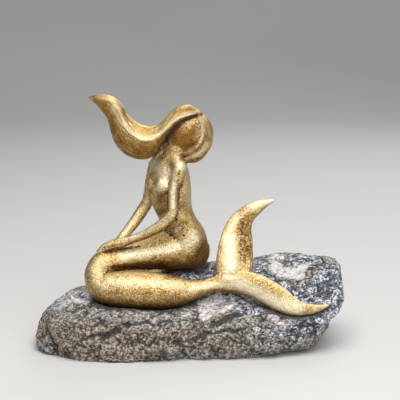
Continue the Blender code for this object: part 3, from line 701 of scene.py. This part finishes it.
# %% Map the brown wash and the painted shade
# Strokes of brown wash, which also paint shade where it falls on face, hair, hip, belly and tail
WASHED_AND_SHADED = [
    # strength, width in pixels, points in the picture
    (0.95, 11, [(92, 95), (102, 104), (109, 115), (112, 126)]),
    (0.85, 13, [(110, 124), (119, 141), (134, 151), (152, 151)]),
    (0.5, 9, [(176, 109), (190, 107), (200, 115), (208, 128), (208, 146)]),
    (0.3, 5, [(175.5, 168), (177, 185), (177, 205)]), (0.4, 7, [(147, 183), (148, 189)]),
    (0.95, 10, [(160, 196), (164, 206), (163, 216)]), (0.25, 8, [(168, 226), (176, 229), (184, 230)]),
    (0.5, 10, [(152, 243), (164, 239), (176, 236)]), (0.5, 7, [(104, 251), (113, 246), (124, 247)]),
    (0.5, 9, [(150, 262), (166, 256), (180, 252)]), (0.35, 12, [(156, 260), (172, 262), (184, 262)]),
    (1.25, 14, [(207, 245), (203, 257), (188, 268), (170, 271)]),
    (0.6, 5, [(113, 268), (130, 267), (150, 268)]), (0.35, 12, [(86, 272), (88, 286), (95, 296)]),
    (0.55, 9, [(110, 292), (150, 294), (178, 293)]), (0.6, 5, [(207, 292), (190, 299), (170, 307)]),
    (0.7, 11, [(94, 297), (120, 303), (150, 305), (178, 301)]),
    (0.25, 8, [(214, 278), (228, 276), (242, 279)]),
    (0.8, 16, [(244, 213), (245, 226), (247, 242), (248, 252)]),
    (0.25, 9, [(250, 279), (258, 282), (268, 288), (280, 295)]),
]
# Painted shade: every face that looks down is browned, partly as wash and partly as the shade it lies in
wash_and_shade = np.maximum(0.9 * ramp(-normal[:, 2], -0.05, 0.6), 0.8 * below)
# The face is browned too: wash, and painted shade under the hair
wash_and_shade[head] = np.maximum(wash_and_shade[head], 1.15 * face * (1 - wave_part) * (place[head, 1] < 0))
wash_and_shade = painted(wash_and_shade, WASHED_AND_SHADED, place, normal)
print("strokes of wash:", len(WASHED_AND_SHADED))

# %% Rub it off again and paint the highlights
# Strokes of rubbed leaf, placed where highlights are painted on the forms
RUBBED_AND_HIGHLIT = [
    # strength, width in pixels, points in the picture
    (0.5, 4.5, [(113, 108), (121, 120), (131, 131), (142, 138), (153, 138), (163, 131), (174, 121),
                (184, 115), (197, 112)]),
    (0.6, 8, [(184, 126), (192, 121), (199, 119)]), (0.55, 8, [(200, 121), (201, 130), (197, 138)]),
    (0.6, 7, [(186, 157), (198, 154), (207, 146)]), (0.9, 6, [(178, 158), (179, 166)]),
    (0.8, 9, [(157, 165), (163, 173), (166, 180)]), (0.6, 8, [(161, 178), (160, 186), (158, 190)]),
    (0.9, 5, [(172, 172), (172, 206)]), (0.4, 6, [(186, 168), (188, 205)]),
    (0.7, 5, [(168, 214), (150, 226), (133, 237)]), (0.5, 4, [(137, 216), (122, 235)]),
    (0.6, 7, [(167, 233), (177, 230)]), (0.9, 8, [(193, 234), (197, 240)]),
    (1.0, 9, [(124, 257), (145, 253), (165, 251), (184, 245), (194, 240)]),
    (0.25, 13, [(99, 264), (99, 278), (106, 286)]), (0.5, 5, [(116, 271), (140, 271.5), (170, 275)]),
    (0.5, 8, [(108, 281), (150, 283), (180, 287)]),
    (0.8, 6, [(190, 289), (210, 286), (232, 285), (244, 288)]), (0.8, 9, [(226, 276), (238, 281)]),
    (0.7, 6, [(272, 201), (258, 205), (244, 212), (233, 224), (226, 238)]),
    (1.0, 12, [(229, 240), (230, 256), (230, 270)]), (0.8, 8, [(282, 300), (292, 308), (300, 316)]),
    (1.0, 12, [(240, 284), (261, 296), (278, 304), (296, 309)]),
]
# Painted highlight: pale rubbed leaf, with half the ridge band of the hair as a painted highlight band
rub_and_highlight = painted(0.5 * on_ridge, RUBBED_AND_HIGHLIT, place, normal)
# The brown wash and painted shade are thinned where highlights are painted
wash_and_shade = wash_and_shade * (1 - 0.7 * rub_and_highlight)
on_the_tail = ramp(place[:, 0], 18 * MM, 30 * MM)
# Polish marks the painted highlights, most of all on the tail, where fewer specks show
for name, values in (("recess", recess * (1 - 0.5 * rub_and_highlight)), ("polish_and_highlight", rub_and_highlight * (0.4 + 0.6 * on_the_tail)),
                     ("crest", np.clip(-hollow, 0, 1)), ("hair", hair), ("wash_and_shade", wash_and_shade), ("rub_and_highlight", rub_and_highlight)):
    keep(figure, name, values)
flows = figure.data.attributes.new("combed", "FLOAT_VECTOR", "POINT")
flows.data.foreach_set("vector", combed.astype(np.float32).ravel())
print("mean wash:", round(float(wash_and_shade.mean()), 3), "mean rub:", round(float(rub_and_highlight.mean()), 3))

# %% [markdown]
# ## The stone
#
# A rough field stone, long and low, with a raised crest on the right. Its outline at each
# station along x is given by where its front and back lie and how high its front edge, its
# middle and its back edge are. Flat facets are then cut off it at many angles, its right end
# leans out, noise of four sizes breaks it up, and clefts are cut between the lumps of its
# front, all as in the source of the CAD part.

# %% Loft and chip the stone
ROCK_LENGTH = 314 * MM
ROCK_SIDES, FACETS = 84, 70
STONE = [
    # x, front, back, underside, front edge, middle, back edge
    (-158, -5, 14, 10, 15, 17, 15), (-151, -22, 32, 4, 23, 26, 22), (-142, -35, 44, 1, 34, 38, 33),
    (-130, -46, 50, 0, 41, 46, 41), (-112, -56, 56, 0, 45, 52, 47), (-80, -61, 60, 0, 47, 60, 55),
    (-40, -61, 62, 0, 46, 73, 68), (0, -57, 62, 0, 45, 77, 72), (40, -55, 62, 0, 47, 74, 76),
    (80, -53, 62, 1, 45, 70, 83), (110, -47, 60, 5, 43, 70, 84), (130, -43, 57, 7, 47, 71, 84),
    (146, -38, 53, 13, 52, 72, 87), (156, -33, 52, 24, 58, 74, 90), (162, -20, 50, 42, 66, 78, 91),
]
# Clefts between the lumps of its front: depth and width in millimetres, then points of a
# line, each x and the height at which it is seen from 12 degrees above
CLEFTS = [
    (4, 7, [(30, 25), (42, 32), (54, 38), (68, 40)]),
    (2, 5, [(7, 10), (21, 16), (36, 19), (51, 19)]),
    (1.8, 5, [(3, 28), (14, 34), (27, 39), (40, 47)]),
    (2.5, 5, [(98, -2), (103, 5), (107, 14), (108, 22)]),
    (2.5, 5, [(127, 13), (123, 21), (114, 26)]),
    (2.2, 5, [(99, 57), (108, 60), (117, 66), (132, 70)]),
    (1.8, 5, [(-135, 39), (-125, 48), (-111, 51), (-96, 45)]),
    (2.4, 6, [(-120, 38), (-106, 39), (-93, 34), (-83, 28)]),
    (2, 5, [(-99, 12), (-90, 15), (-79, 14), (-67, 19)]),
    (2, 6, [(-143, 23), (-138, 13), (-132, 3)]),
    (2, 5, [(-59, 24), (-44, 28), (-30, 25), (-17, 29)]),
    (2, 5, [(-38, 6), (-21, 11), (-5, 8)]),
]


def stone_section(row, sides):
    """Twelve corners from the underside up the front, over the top and down the back, smoothed."""
    _, front, back, low, edge_top, middle, rear = row
    deep = back - front
    tuck = min(1.2 * low, 0.18 * deep)
    corners = np.array([
        (front + 0.24 * deep + tuck, low), (front + 0.05 * deep + tuck, low + 0.02 * (edge_top - low)),
        (front, low + 0.30 * (edge_top - low)), (front + 0.01 * deep, low + 0.70 * (edge_top - low)),
        (front + 0.08 * deep, low + 0.97 * (edge_top - low)),
        (front + 0.28 * deep, edge_top + 0.20 * (middle - edge_top)), (front + 0.55 * deep, middle),
        (back - 0.20 * deep, 0.4 * middle + 0.6 * rear), (back - 0.04 * deep, low + 0.90 * (rear - low)),
        (back, low + 0.50 * (rear - low)), (back - 0.08 * deep, low + 0.06 * (rear - low)),
        (back - 0.32 * deep, low),
    ])
    return around(corners[None], sides)[0]


def cleft_depth(points, narrow=1.0):
    """Depth at a line, falling straight to 0 at its width, on the side that faces the viewer."""
    seen = np.stack([points[:, 0], points @ PICTURE_UP], 1)
    total = np.zeros(len(points))
    for depth, width, path in CLEFTS:
        far = off_line(seen, np.array(path, float) * MM)
        total = np.maximum(total, depth * MM * np.clip(1 - far / (width * narrow * MM), 0, 1))
    return total * np.clip(-points[:, 1] / (20 * MM), 0, 1)


print("clefts:", len(CLEFTS))

# %% Cut the facets and grow the stone
GOLDEN_TURN = 2.399963
FACET_CUT = 3 * MM
END_LEAN, LEAN_START, LEAN_LENGTH, LEAN_HEIGHT = 0.24, 110 * MM, 40 * MM, 54 * MM
LEAN_DROP = 22 * MM
# How much a change in each column of a station counts towards the spacing of the rings
COLUMN_WEIGHTS = (1, 0.4, 0.4, 0.4, 0.3, 0.3, 0.3)
ROCK_VOXEL = 1.22 * MM

rows = through(STONE, 8)
steps = np.linalg.norm(np.diff(rows, axis=0) * COLUMN_WEIGHTS, axis=1)
span = np.append(0, np.cumsum(steps))
wanted = np.linspace(0, span[-1], 2 * ROCK_SIDES)
rows = np.stack([np.interp(wanted, span, column) for column in rows.T], 1)
sections = np.array([stone_section(row, ROCK_SIDES) for row in rows])
blank, blank_faces = skin(np.concatenate([np.repeat(rows[:, :1, None], ROCK_SIDES, 1), sections], 2) * MM)
core = np.clip(blank * (1, 0, 0), -ROCK_LENGTH / 3, ROCK_LENGTH / 3) + (0, 0, SEAT_HEIGHT * 0.8)
spiral = np.arange(FACETS) * GOLDEN_TURN
rise = np.linspace(-0.6, 0.95, FACETS)
flat = np.sqrt(1 - rise**2)
for way in np.stack([flat * np.cos(spiral), flat * np.sin(spiral), rise], 1):
    limit = (blank @ way).max() - FACET_CUT - core @ way
    reach = np.maximum((blank - core) @ way, 1e-6)
    blank = core + (blank - core) * np.clip(limit / reach, 0, 1)[:, None]
lean = END_LEAN * np.clip((blank[:, 0] - LEAN_START) / LEAN_LENGTH, 0, 1)
blank[:, 0] += lean * np.maximum(blank[:, 2] - LEAN_HEIGHT, -LEAN_DROP)
bump = layered(blank, [(3.5, 24, 3), (2.2, 11, 8)])
bump = bump + layered(blank + blank[:, :1] * (0, 0, 0.15), [(1.3, (34, 26, 9), 21)])
bump = bump + layered(blank, [(1.1, 6.5, 23)]) - cleft_depth(blank)
rock = object_from("rock_skin", [(blank + unit(blank - core) * bump[:, None], blank_faces)])
grow_together(rock, ROCK_VOXEL, 1)

# %% [markdown]
# ## Chips, cracks and bed
#
# Up close the stone is coarse granite: lumps of 2 to 5 mm between weathered grains, and
# cracks that follow its lie, nearly level. The cracks are the places where a stretched noise
# passes through zero, and the clefts are cut once more, narrower. The stone is set to
# the CAD stone's box, kept level below and let down half a millimetre under the casting, whose
# underside is read off as a height map, and further under the fork, where air shows.

# %% Roughen the stone
FOOT_TRIM, WANDER = 1.8 * MM, 2.2 * MM
# The cracks lie nearly level and fall a little to the right
DIP = np.array([[1, 0, 0.10], [0, 1, 0], [-0.15, 0, 1]])

spot, facing, _ = read_surface(rock)
spot = np.maximum(spot, (-1, -1, FOOT_TRIM))
low, high = spot.min(0), spot.max(0)
node_low, node_high = (np.array(corner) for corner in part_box("rock_base"))
spot = node_low + (spot - low) * (node_high - node_low) / (high - low)
dip = spot @ DIP
layers = lumps(dip, np.array([34, 26, 6]) * MM, 21) + 0.35 * lumps(dip, np.array([12, 10, 3]) * MM, 26)
breaks = ramp(-np.abs(layers), -0.13, -0.01) * ramp(lumps(spot, 20 * MM, 22), -0.25, 0.2)
coarse = lumps(spot, 4.6 * MM, 27)
grain = lumps(spot, 2.9 * MM, 24)
fine = lumps(spot, 1.8 * MM, 25)
holes = ramp(-lumps(spot, 4.2 * MM, 28), 0.5, 0.8)
wander = np.stack([lumps(spot, 9 * MM, 61), 0 * coarse, lumps(spot, 5 * MM, 62)], 1) * WANDER
sharp = cleft_depth(spot + wander, 0.5) * ramp(lumps(spot, 12 * MM, 63), -0.6, 0.2)
relief = 0.5 * coarse + 0.55 * grain + 0.45 * fine - 0.9 * breaks - 0.5 * holes - 0.45 * sharp / MM - 0.3
spot = spot + facing * (relief * MM)[:, None]
print("relief in mm:", np.round([relief.min(), relief.max()], 1))

# %% Let it down under the casting
CELL, MAP_CELLS = 1.0 * MM, 400
CLEARANCE, OPEN_AIR = 0.5 * MM, 3.2 * MM
AIR_START, AIR_END, AIR_SLOPE = -4 * MM, 82 * MM, 16 * MM
WIDENINGS = 4
FULL_PIT, FULL_DALE = 0.35 * MM, 1.5 * MM


def cell_of(points):
    """Row and column of the height map that a point lies in."""
    cell = np.round(points[:, :2] / CELL).astype(int) + MAP_CELLS // 2
    return tuple(np.clip(cell, 0, MAP_CELLS - 1).T)


def widened(heights):
    """Each cell takes the lowest of itself and its neighbours, along x and then along y."""
    for axis in (0, 1):
        heights = np.minimum(heights, np.minimum(np.roll(heights, 1, axis), np.roll(heights, -1, axis)))
    return heights


under = np.full((MAP_CELLS, MAP_CELLS), 1.0)
np.minimum.at(under, cell_of(place), place[:, 2])
wider = [widened(widened(under))]
for _ in range(WIDENINGS):
    wider.append(widened(wider[-1]))
at = cell_of(spot)
air = np.clip(np.minimum(spot[:, 0] - AIR_START, AIR_END - spot[:, 0]) / AIR_SLOPE, 0, 1)
room = CLEARANCE + OPEN_AIR * air
beyond = np.array(wider)[(np.round(WIDENINGS * air).astype(int), *at)]
spot[:, 2] = np.minimum(spot[:, 2], np.minimum(wider[0][at], beyond) - room)
spot, facing, links = move_to(rock, np.clip(spot, node_low, node_high))
pit = hollows(spot, facing, links, 8) / FULL_PIT
dale = hollows(spot, facing, links, 60) / FULL_DALE
# Painted shadow: the stone darkens where it lies just under the casting
casting_shadow = ramp(spot[:, 2] - wider[2][at], -7 * MM, -1 * MM)
# Darker in hollows and cracks, plus the painted shadow under the casting
hollows_and_casting_shadow = 0.75 * np.clip(pit, 0, 1) + 0.5 * np.clip(dale, 0, 1) + 0.35 * breaks + 0.55 * holes
hollows_and_casting_shadow = hollows_and_casting_shadow + 0.3 * sharp / MM + 0.7 * casting_shadow
# Kept as recess: hollows and cracks, and the painted shadow under the casting
keep(rock, "recess", np.clip(hollows_and_casting_shadow, 0, 1))
keep(rock, "crest", np.clip(-pit, 0, 1))
print("stone box in mm:", np.round(np.array([spot.min(0), spot.max(0)]) / MM, 1).tolist())

# %% [markdown]
# ## Kinds of stone
#
# One boulder carries several kinds: grey, brown-grey below and on the left, blue-black mica with
# white grains on the right and under the figure, pale tan where a flake came off the crest, and
# a pale mound and a pale top on the left. Each kind is a share between 0 and 1, drawn as
# wide strokes of the picture and broken up by noise, with plain noise on the hidden side.

# %% Lay out the kinds of stone
KINDS = {
    "blue": [
        (0.5, 14, [(55, 303), (68, 297), (84, 296)]),
        (0.9, 11, [(262, 262), (258, 272), (276, 283), (292, 296)]),
        (1.0, 20, [(300, 300), (318, 290), (330, 278), (338, 300)]),
        (0.8, 9, [(236, 314), (250, 309), (262, 312)]),
        (0.9, 18, [(296, 330), (318, 322), (330, 315)]), (0.8, 8, [(290, 262), (306, 258), (322, 262)]),
        (0.9, 12, [(180, 276), (205, 274), (214, 272)]), (0.5, 14, [(260, 330), (276, 335), (290, 330)]),
    ],
    "tan": [
        (1.0, 10, [(275, 267), (286, 273), (300, 274)]), (0.6, 6, [(300, 268), (316, 262)]),
    ],
    "pale": [
        (1.0, 12, [(56, 302), (68, 298), (86, 297)]), (0.42, 16, [(188, 312), (200, 308)]),
        (1.0, 14, [(205, 307), (214, 303), (228, 300)]),
        (0.5, 8, [(258, 263), (268, 259), (282, 257)]), (0.5, 10, [(270, 318), (284, 324), (292, 332)]),
        (0.6, 9, [(202, 316), (216, 311), (232, 304)]),
    ],
    "brown": [
        (1.0, 26, [(50, 330), (70, 335), (100, 338), (140, 340)]),
        (1.0, 16, [(58, 350), (100, 353), (160, 352)]), (0.8, 22, [(150, 340), (190, 338), (230, 345)]),
        (0.6, 12, [(196, 322), (216, 318), (232, 310)]), (0.5, 8, [(66, 318), (90, 320), (110, 326)]),
    ],
}
patch = 0.5 + 0.5 * lumps(spot, 26 * MM, 51)
torn = 0.30 * lumps(spot, 7 * MM, 52) + 0.25 * lumps(spot, 3 * MM, 53)
hidden = ramp(facing @ LOOK, -0.25, 0.25)
behind = {"blue": hidden * ramp(patch, 0.5, 0.7), "brown": hidden * ramp(-patch, -0.5, -0.3)}
for kind, strokes in KINDS.items():
    share = painted(behind.get(kind, 0 * patch), strokes, spot, facing)
    keep(rock, kind, ramp(share + torn * np.sqrt(np.clip(share, 0, 1)), 0.25, 0.6))
print("kinds of stone:", list(KINDS))

# %% [markdown]
# ## Node helpers
#
# A material is a small graph, and it reads better as a recipe than as a list of nodes. So each
# helper adds one node and hands back its output: mix two colours, do one sum, stretch
# a range, or read a number that was kept with the mesh.

# %% Helpers for material graphs
def node(tree, kind, inputs=None, **settings):
    """Add a node, set its properties, and set or link its inputs."""
    made = tree.nodes.new(kind)
    for name, value in settings.items():
        setattr(made, name, value)
    for name, value in (inputs or {}).items():
        if isinstance(value, bpy.types.NodeSocket):
            tree.links.new(value, made.inputs[name])
        else:
            made.inputs[name].default_value = value
    return made


def blend(tree, share, first, second):
    """Mix two colours: the first times one minus the share, plus the second times the share."""
    return node(tree, "ShaderNodeMix", {0: share, 6: first, 7: second}, data_type="RGBA").outputs[2]


def maths(tree, operation, *values, clamp=False):
    """One sum, product or other step on two or three numbers."""
    step = node(tree, "ShaderNodeMath", dict(enumerate(values)), operation=operation, use_clamp=clamp)
    return step.outputs[0]


def times(tree, first, second, clamp=False):
    """The product of two numbers."""
    return maths(tree, "MULTIPLY", first, second, clamp=clamp)


def span_of(tree, value, low, high, to_low=0.0, to_high=1.0):
    """Stretch a range of a value to another range, smoothly and clamped."""
    limits = {0: value, 1: low, 2: high, 3: to_low, 4: to_high}
    return node(tree, "ShaderNodeMapRange", limits, interpolation_type="SMOOTHSTEP").outputs[0]


def kept(tree, name, output="Fac"):
    """Read what was kept with the mesh under a name."""
    return node(tree, "ShaderNodeAttribute", attribute_name=name).outputs[output]


def finish_for(piece, name):
    """A new material as the only one of a piece: its graph, and the inputs of its shader."""
    finish = bpy.data.materials.new(name)
    finish.use_nodes = True
    piece.data.materials.clear()
    piece.data.materials.append(finish)
    return finish.node_tree, finish.node_tree.nodes["Principled BSDF"].inputs


print("helpers ready")

# %% [markdown]
# ## Speckle group
#
# Both finishes are broken up by noise of two sizes. The shared effect is one group: it reads
# Object coordinates, and puts out a coarse and a fine mask and a height for bump.

# %% Build the speckle group
speckle = bpy.data.node_groups.new("speckle", "ShaderNodeTree")
speckle.interface.new_socket("Vector", in_out="INPUT", socket_type="NodeSocketVector")
for name in ("Coarse Scale", "Fine Scale"):
    speckle.interface.new_socket(name, in_out="INPUT", socket_type="NodeSocketFloat")
for name in ("Coarse", "Fine", "Height"):
    speckle.interface.new_socket(name, in_out="OUTPUT", socket_type="NodeSocketFloat")
given = node(speckle, "NodeGroupInput").outputs


def noise_at(scale, detail, roughness):
    """Noise on the group's own coordinates."""
    inputs = {"Vector": given["Vector"], "Scale": scale, "Detail": detail, "Roughness": roughness}
    return node(speckle, "ShaderNodeTexNoise", inputs).outputs[0]


coarse_noise = noise_at(given["Coarse Scale"], 4.0, 0.6)
fine_noise = noise_at(given["Fine Scale"], 3.0, 0.7)
height = maths(speckle, "MULTIPLY_ADD", coarse_noise, 0.3, times(speckle, fine_noise, 0.7))
node(speckle, "NodeGroupOutput", {0: coarse_noise, 1: fine_noise, 2: height})


def speckles(tree, coarse_scale, fine_scale):
    """The outputs of the group at two scales, and the Object coordinates that it reads."""
    where = node(tree, "ShaderNodeTexCoord").outputs["Object"]
    inputs = {"Vector": where, "Coarse Scale": coarse_scale, "Fine Scale": fine_scale}
    return node(tree, "ShaderNodeGroup", inputs, node_tree=speckle).outputs, where


print("group outputs:", [item.name for item in speckle.interface.items_tree if item.in_out == "OUTPUT"])

# %% [markdown]
# ## Antique gold leaf
#
# The leaf is metal. It lies in deeper and brighter patches, is browner on the hair, and is pale
# on crests and where it is rubbed; the rubbed places are painted highlights too. Over it goes
# the brown wash, partly painted shade, thick in some patches and thin in others, with glints of
# bare leaf in it. On the hair the fine grain is read at the combed places that were kept for it,
# so it runs in threads along the strands.

# %% Colour the leaf
LEAF_DEEP, LEAF_BRIGHT = (0.49, 0.31, 0.09, 1), (0.64, 0.455, 0.18, 1)
LEAF_OF_HAIR, LEAF_SHADE = (0.36, 0.215, 0.055, 1), (0.30, 0.15, 0.035, 1)
# Pale rubbed leaf, laid where highlights are painted
LEAF_RUBBED_AND_HIGHLIT, LEAF_CREST = (0.93, 0.81, 0.55, 1), (0.92, 0.82, 0.58, 1)
# Brown of the wash, which also paints the shade
WASH_AND_SHADE_BROWN, GLINT = (0.265, 0.125, 0.022, 1), (0.94, 0.82, 0.55, 1)

gold, gilding = finish_for(figure, "antique_gold_leaf")
spots, _ = speckles(gold, 150, 620)
hollow_share, crest_share, hair_share, wash_and_shade_share, rub_and_highlight_share, polish_and_highlight_share = (
    kept(gold, name) for name in ("recess", "crest", "hair", "wash_and_shade", "rub_and_highlight", "polish_and_highlight"))
thread_inputs = {"Vector": kept(gold, "combed", "Vector"), "Scale": 900.0, "Detail": 2.0, "Roughness": 0.6}
thread = node(gold, "ShaderNodeTexNoise", thread_inputs).outputs[0]
grain_inputs = {0: times(gold, hair_share, 0.6), 2: spots["Fine"], 3: thread}
leaf_grain = node(gold, "ShaderNodeMix", grain_inputs).outputs[0]

leaf = blend(gold, span_of(gold, spots["Coarse"], 0.34, 0.66), LEAF_DEEP, LEAF_BRIGHT)
leaf = blend(gold, times(gold, hair_share, 0.4), leaf, LEAF_OF_HAIR)
# Painted highlight: pale leaf where the rubbed and highlit mask lies
leaf = blend(gold, rub_and_highlight_share, leaf, LEAF_RUBBED_AND_HIGHLIT)
# Fewer dark specks where highlights are painted
unrubbed_and_unhighlit = span_of(gold, polish_and_highlight_share, 0, 1, 1, 0.15)
leaf = blend(gold, times(gold, span_of(gold, leaf_grain, 0.48, 0.38, 0, 0.55), unrubbed_and_unhighlit), leaf, LEAF_SHADE)
leaf = blend(gold, span_of(gold, crest_share, 0.1, 0.9, 0, 0.35), leaf, LEAF_CREST)
thickness = span_of(gold, spots["Coarse"], 0.28, 0.66, 1.25, 0.7)
# Brown wash, partly painted shade, thicker and thinner in patches
wash_and_shade_cover = times(gold, wash_and_shade_share, thickness, clamp=True)
leaf = blend(gold, wash_and_shade_cover, leaf, WASH_AND_SHADE_BROWN)
clear = span_of(gold, wash_and_shade_cover, 0, 1, 1, 0.12)
leaf = blend(gold, times(gold, span_of(gold, leaf_grain, 0.52, 0.64, 0, 0.75), clear), leaf, GLINT)
print("nodes for the leaf:", len(gold.nodes))

# %% [markdown]
# ## Where the leaf is worn through
#
# Brown ground shows in the hollows and in tiny specks. It is no metal and it is rougher, so
# one mask steers colour, Metallic and Roughness together. Bump carries the crinkle of
# the leaf and the threads of the hair, both finer than the mesh.

# %% Wear the leaf
BROWN_GROUND = (0.10, 0.046, 0.012, 1)

bared = maths(gold, "ADD", times(gold, wash_and_shade_cover, 0.06), times(gold, hollow_share, 0.22))
# Fewer specks worn through where highlights are painted
bared = maths(gold, "SUBTRACT", bared, times(gold, polish_and_highlight_share, 0.09))
specks = span_of(gold, maths(gold, "SUBTRACT", leaf_grain, bared), 0.425, 0.34, 0, 0.75)
worn = maths(gold, "ADD", specks, times(gold, hollow_share, 0.55), clamp=True)
satin = span_of(gold, spots["Coarse"], 0.3, 0.7, 0.38, 0.29)
crinkle = maths(gold, "ADD", spots["Height"], times(gold, times(gold, thread, hair_share), 0.8))
leaf_bump = node(gold, "ShaderNodeBump", {"Strength": 0.9, "Distance": 0.0018, "Height": crinkle})
gold.links.new(blend(gold, worn, leaf, BROWN_GROUND), gilding["Base Color"])
gold.links.new(span_of(gold, worn, 0.2, 1.0, 1.0, 0.65), gilding["Metallic"])
gold.links.new(maths(gold, "ADD", satin, times(gold, worn, 0.22)), gilding["Roughness"])
gold.links.new(leaf_bump.outputs[0], gilding["Normal"])
print("nodes in the gilding:", len(gold.nodes))

# %% [markdown]
# ## Granite
#
# Granite is a mass of grains of 1 to 3 mm: dark mica, grey and white quartz and tan feldspar.
# Voronoi cells give the grains, each with a random tone. Noise shifts the places that the
# cells are read at, because real grains are ragged and no polygons, and two sizes of cloud
# gather light and dark ones. Each kind of stone turns the tone into its own minerals.

# %% Give each grain its tone and its mineral
MINERALS = {
    # tone and colour, from the darkest grains to the lightest
    "grey": [(0.12, (0.02, 0.018, 0.016)), (0.42, (0.105, 0.093, 0.082)), (0.66, (0.24, 0.215, 0.195)),
             (0.88, (0.52, 0.485, 0.44))],
    "brown": [(0.15, (0.016, 0.012, 0.008)), (0.44, (0.095, 0.068, 0.045)), (0.66, (0.20, 0.15, 0.105)),
              (0.88, (0.47, 0.40, 0.32))],
    "pale": [(0.12, (0.13, 0.12, 0.12)), (0.40, (0.47, 0.435, 0.425)), (0.85, (0.80, 0.76, 0.74))],
    "tan": [(0.05, (0.30, 0.265, 0.24)), (0.40, (0.50, 0.475, 0.455)), (0.90, (0.68, 0.67, 0.66))],
    "blue": [(0.20, (0.008, 0.01, 0.02)), (0.46, (0.065, 0.076, 0.11)), (0.62, (0.215, 0.235, 0.285)),
             (0.82, (0.70, 0.72, 0.76))],
}
RAGGED = (0.0022, 0.0022, 0.0022)

stone, granite = finish_for(rock, "weathered_granite")
marks, there = speckles(stone, 130, 420)
shift = node(stone, "ShaderNodeTexNoise", {"Vector": there, "Scale": 900.0, "Detail": 1.0}).outputs["Color"]
shifted = node(stone, "ShaderNodeVectorMath", {0: shift, 1: RAGGED, 2: there}, operation="MULTIPLY_ADD")
grains = node(stone, "ShaderNodeTexVoronoi", {"Vector": shifted.outputs[0], "Scale": 600.0})
single = node(stone, "ShaderNodeSeparateColor", {0: grains.outputs["Color"]}).outputs[0]
clouds = maths(stone, "ADD", times(stone, span_of(stone, marks["Fine"], 0.36, 0.64), 0.35),
               times(stone, span_of(stone, marks["Coarse"], 0.34, 0.66), 0.20))
tone = maths(stone, "ADD", times(stone, single, 0.60), clouds)


def grain_colours(stops):
    """The tone of a grain turned into its colour, even between the stops."""
    colours = node(stone, "ShaderNodeValToRGB", {0: tone})
    band = colours.color_ramp
    for place_in_band, (stop, shade) in zip((0, -1), (stops[0], stops[-1])):
        band.elements[place_in_band].position = stop
        band.elements[place_in_band].color = (*shade, 1)
    for stop, shade in stops[1:-1]:
        band.elements.new(stop).color = (*shade, 1)
    return colours.outputs[0]


minerals = {kind: grain_colours(stops) for kind, stops in MINERALS.items()}
print("kinds of mineral mix:", list(minerals))

# %% [markdown]
# ## Weathered granite
#
# The kinds of stone are laid over each other by the shares kept with the mesh, with patches
# of blue-black mica in the blue one. Crests are made a little paler and hollows and cracks darker,
# the latter less where a flake came off, because that face is young and clean. The stone just
# under the casting is darkened too, as a painted shadow.

# %% Weather the granite and paint the shadow under the casting
# Paler crests, and one dark for hollows, cracks and the painted shadow under the casting
MICA, CREST_PALE, HOLLOW_AND_SHADOW_DARK = (0.028, 0.034, 0.058, 1), (0.50, 0.47, 0.44, 1), (0.022, 0.02, 0.019, 1)

mica_share = span_of(stone, marks["Coarse"], 0.53, 0.43, 0, 0.75)
minerals["blue"] = blend(stone, mica_share, minerals["blue"], MICA)
base = minerals["grey"]
for kind in ("brown", "pale", "tan", "blue"):
    base = blend(stone, kept(stone, kind), base, minerals[kind])
flaked = maths(stone, "ADD", kept(stone, "pale"), kept(stone, "tan"), clamp=True)
# Darkening of hollows and cracks, and the painted shadow under the casting
hollow_and_shadow_share = times(stone, kept(stone, "recess"), maths(stone, "MULTIPLY_ADD", flaked, -0.55, 1.0))
base = blend(stone, span_of(stone, kept(stone, "crest"), 0.2, 1.0, 0, 0.25), base, CREST_PALE)
base = blend(stone, span_of(stone, hollow_and_shadow_share, 0.10, 0.8, 0, 0.85), base, HOLLOW_AND_SHADOW_DARK)
rise_of_grains = maths(stone, "ADD", marks["Height"], times(stone, grains.outputs["Distance"], -0.5))
stone_bump = node(stone, "ShaderNodeBump", {"Strength": 1.0, "Distance": 0.0020, "Height": rise_of_grains})
stone.links.new(base, granite["Base Color"])
stone.links.new(stone_bump.outputs[0], granite["Normal"])
granite["Roughness"].default_value = 0.8
print("nodes in the granite:", len(stone.nodes))

# %% [markdown]
# ## Hand over
#
# Each skin stands for one solid of the imported model and rides with the only body.

# %% Tie the pieces to the frame
PIECES = [(figure, "mermaid_figure", "gilded_casting"), (rock, "rock_base", "granite")]
for piece, solid, slot_name in PIECES:
    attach(piece, "root")
    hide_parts(solid)
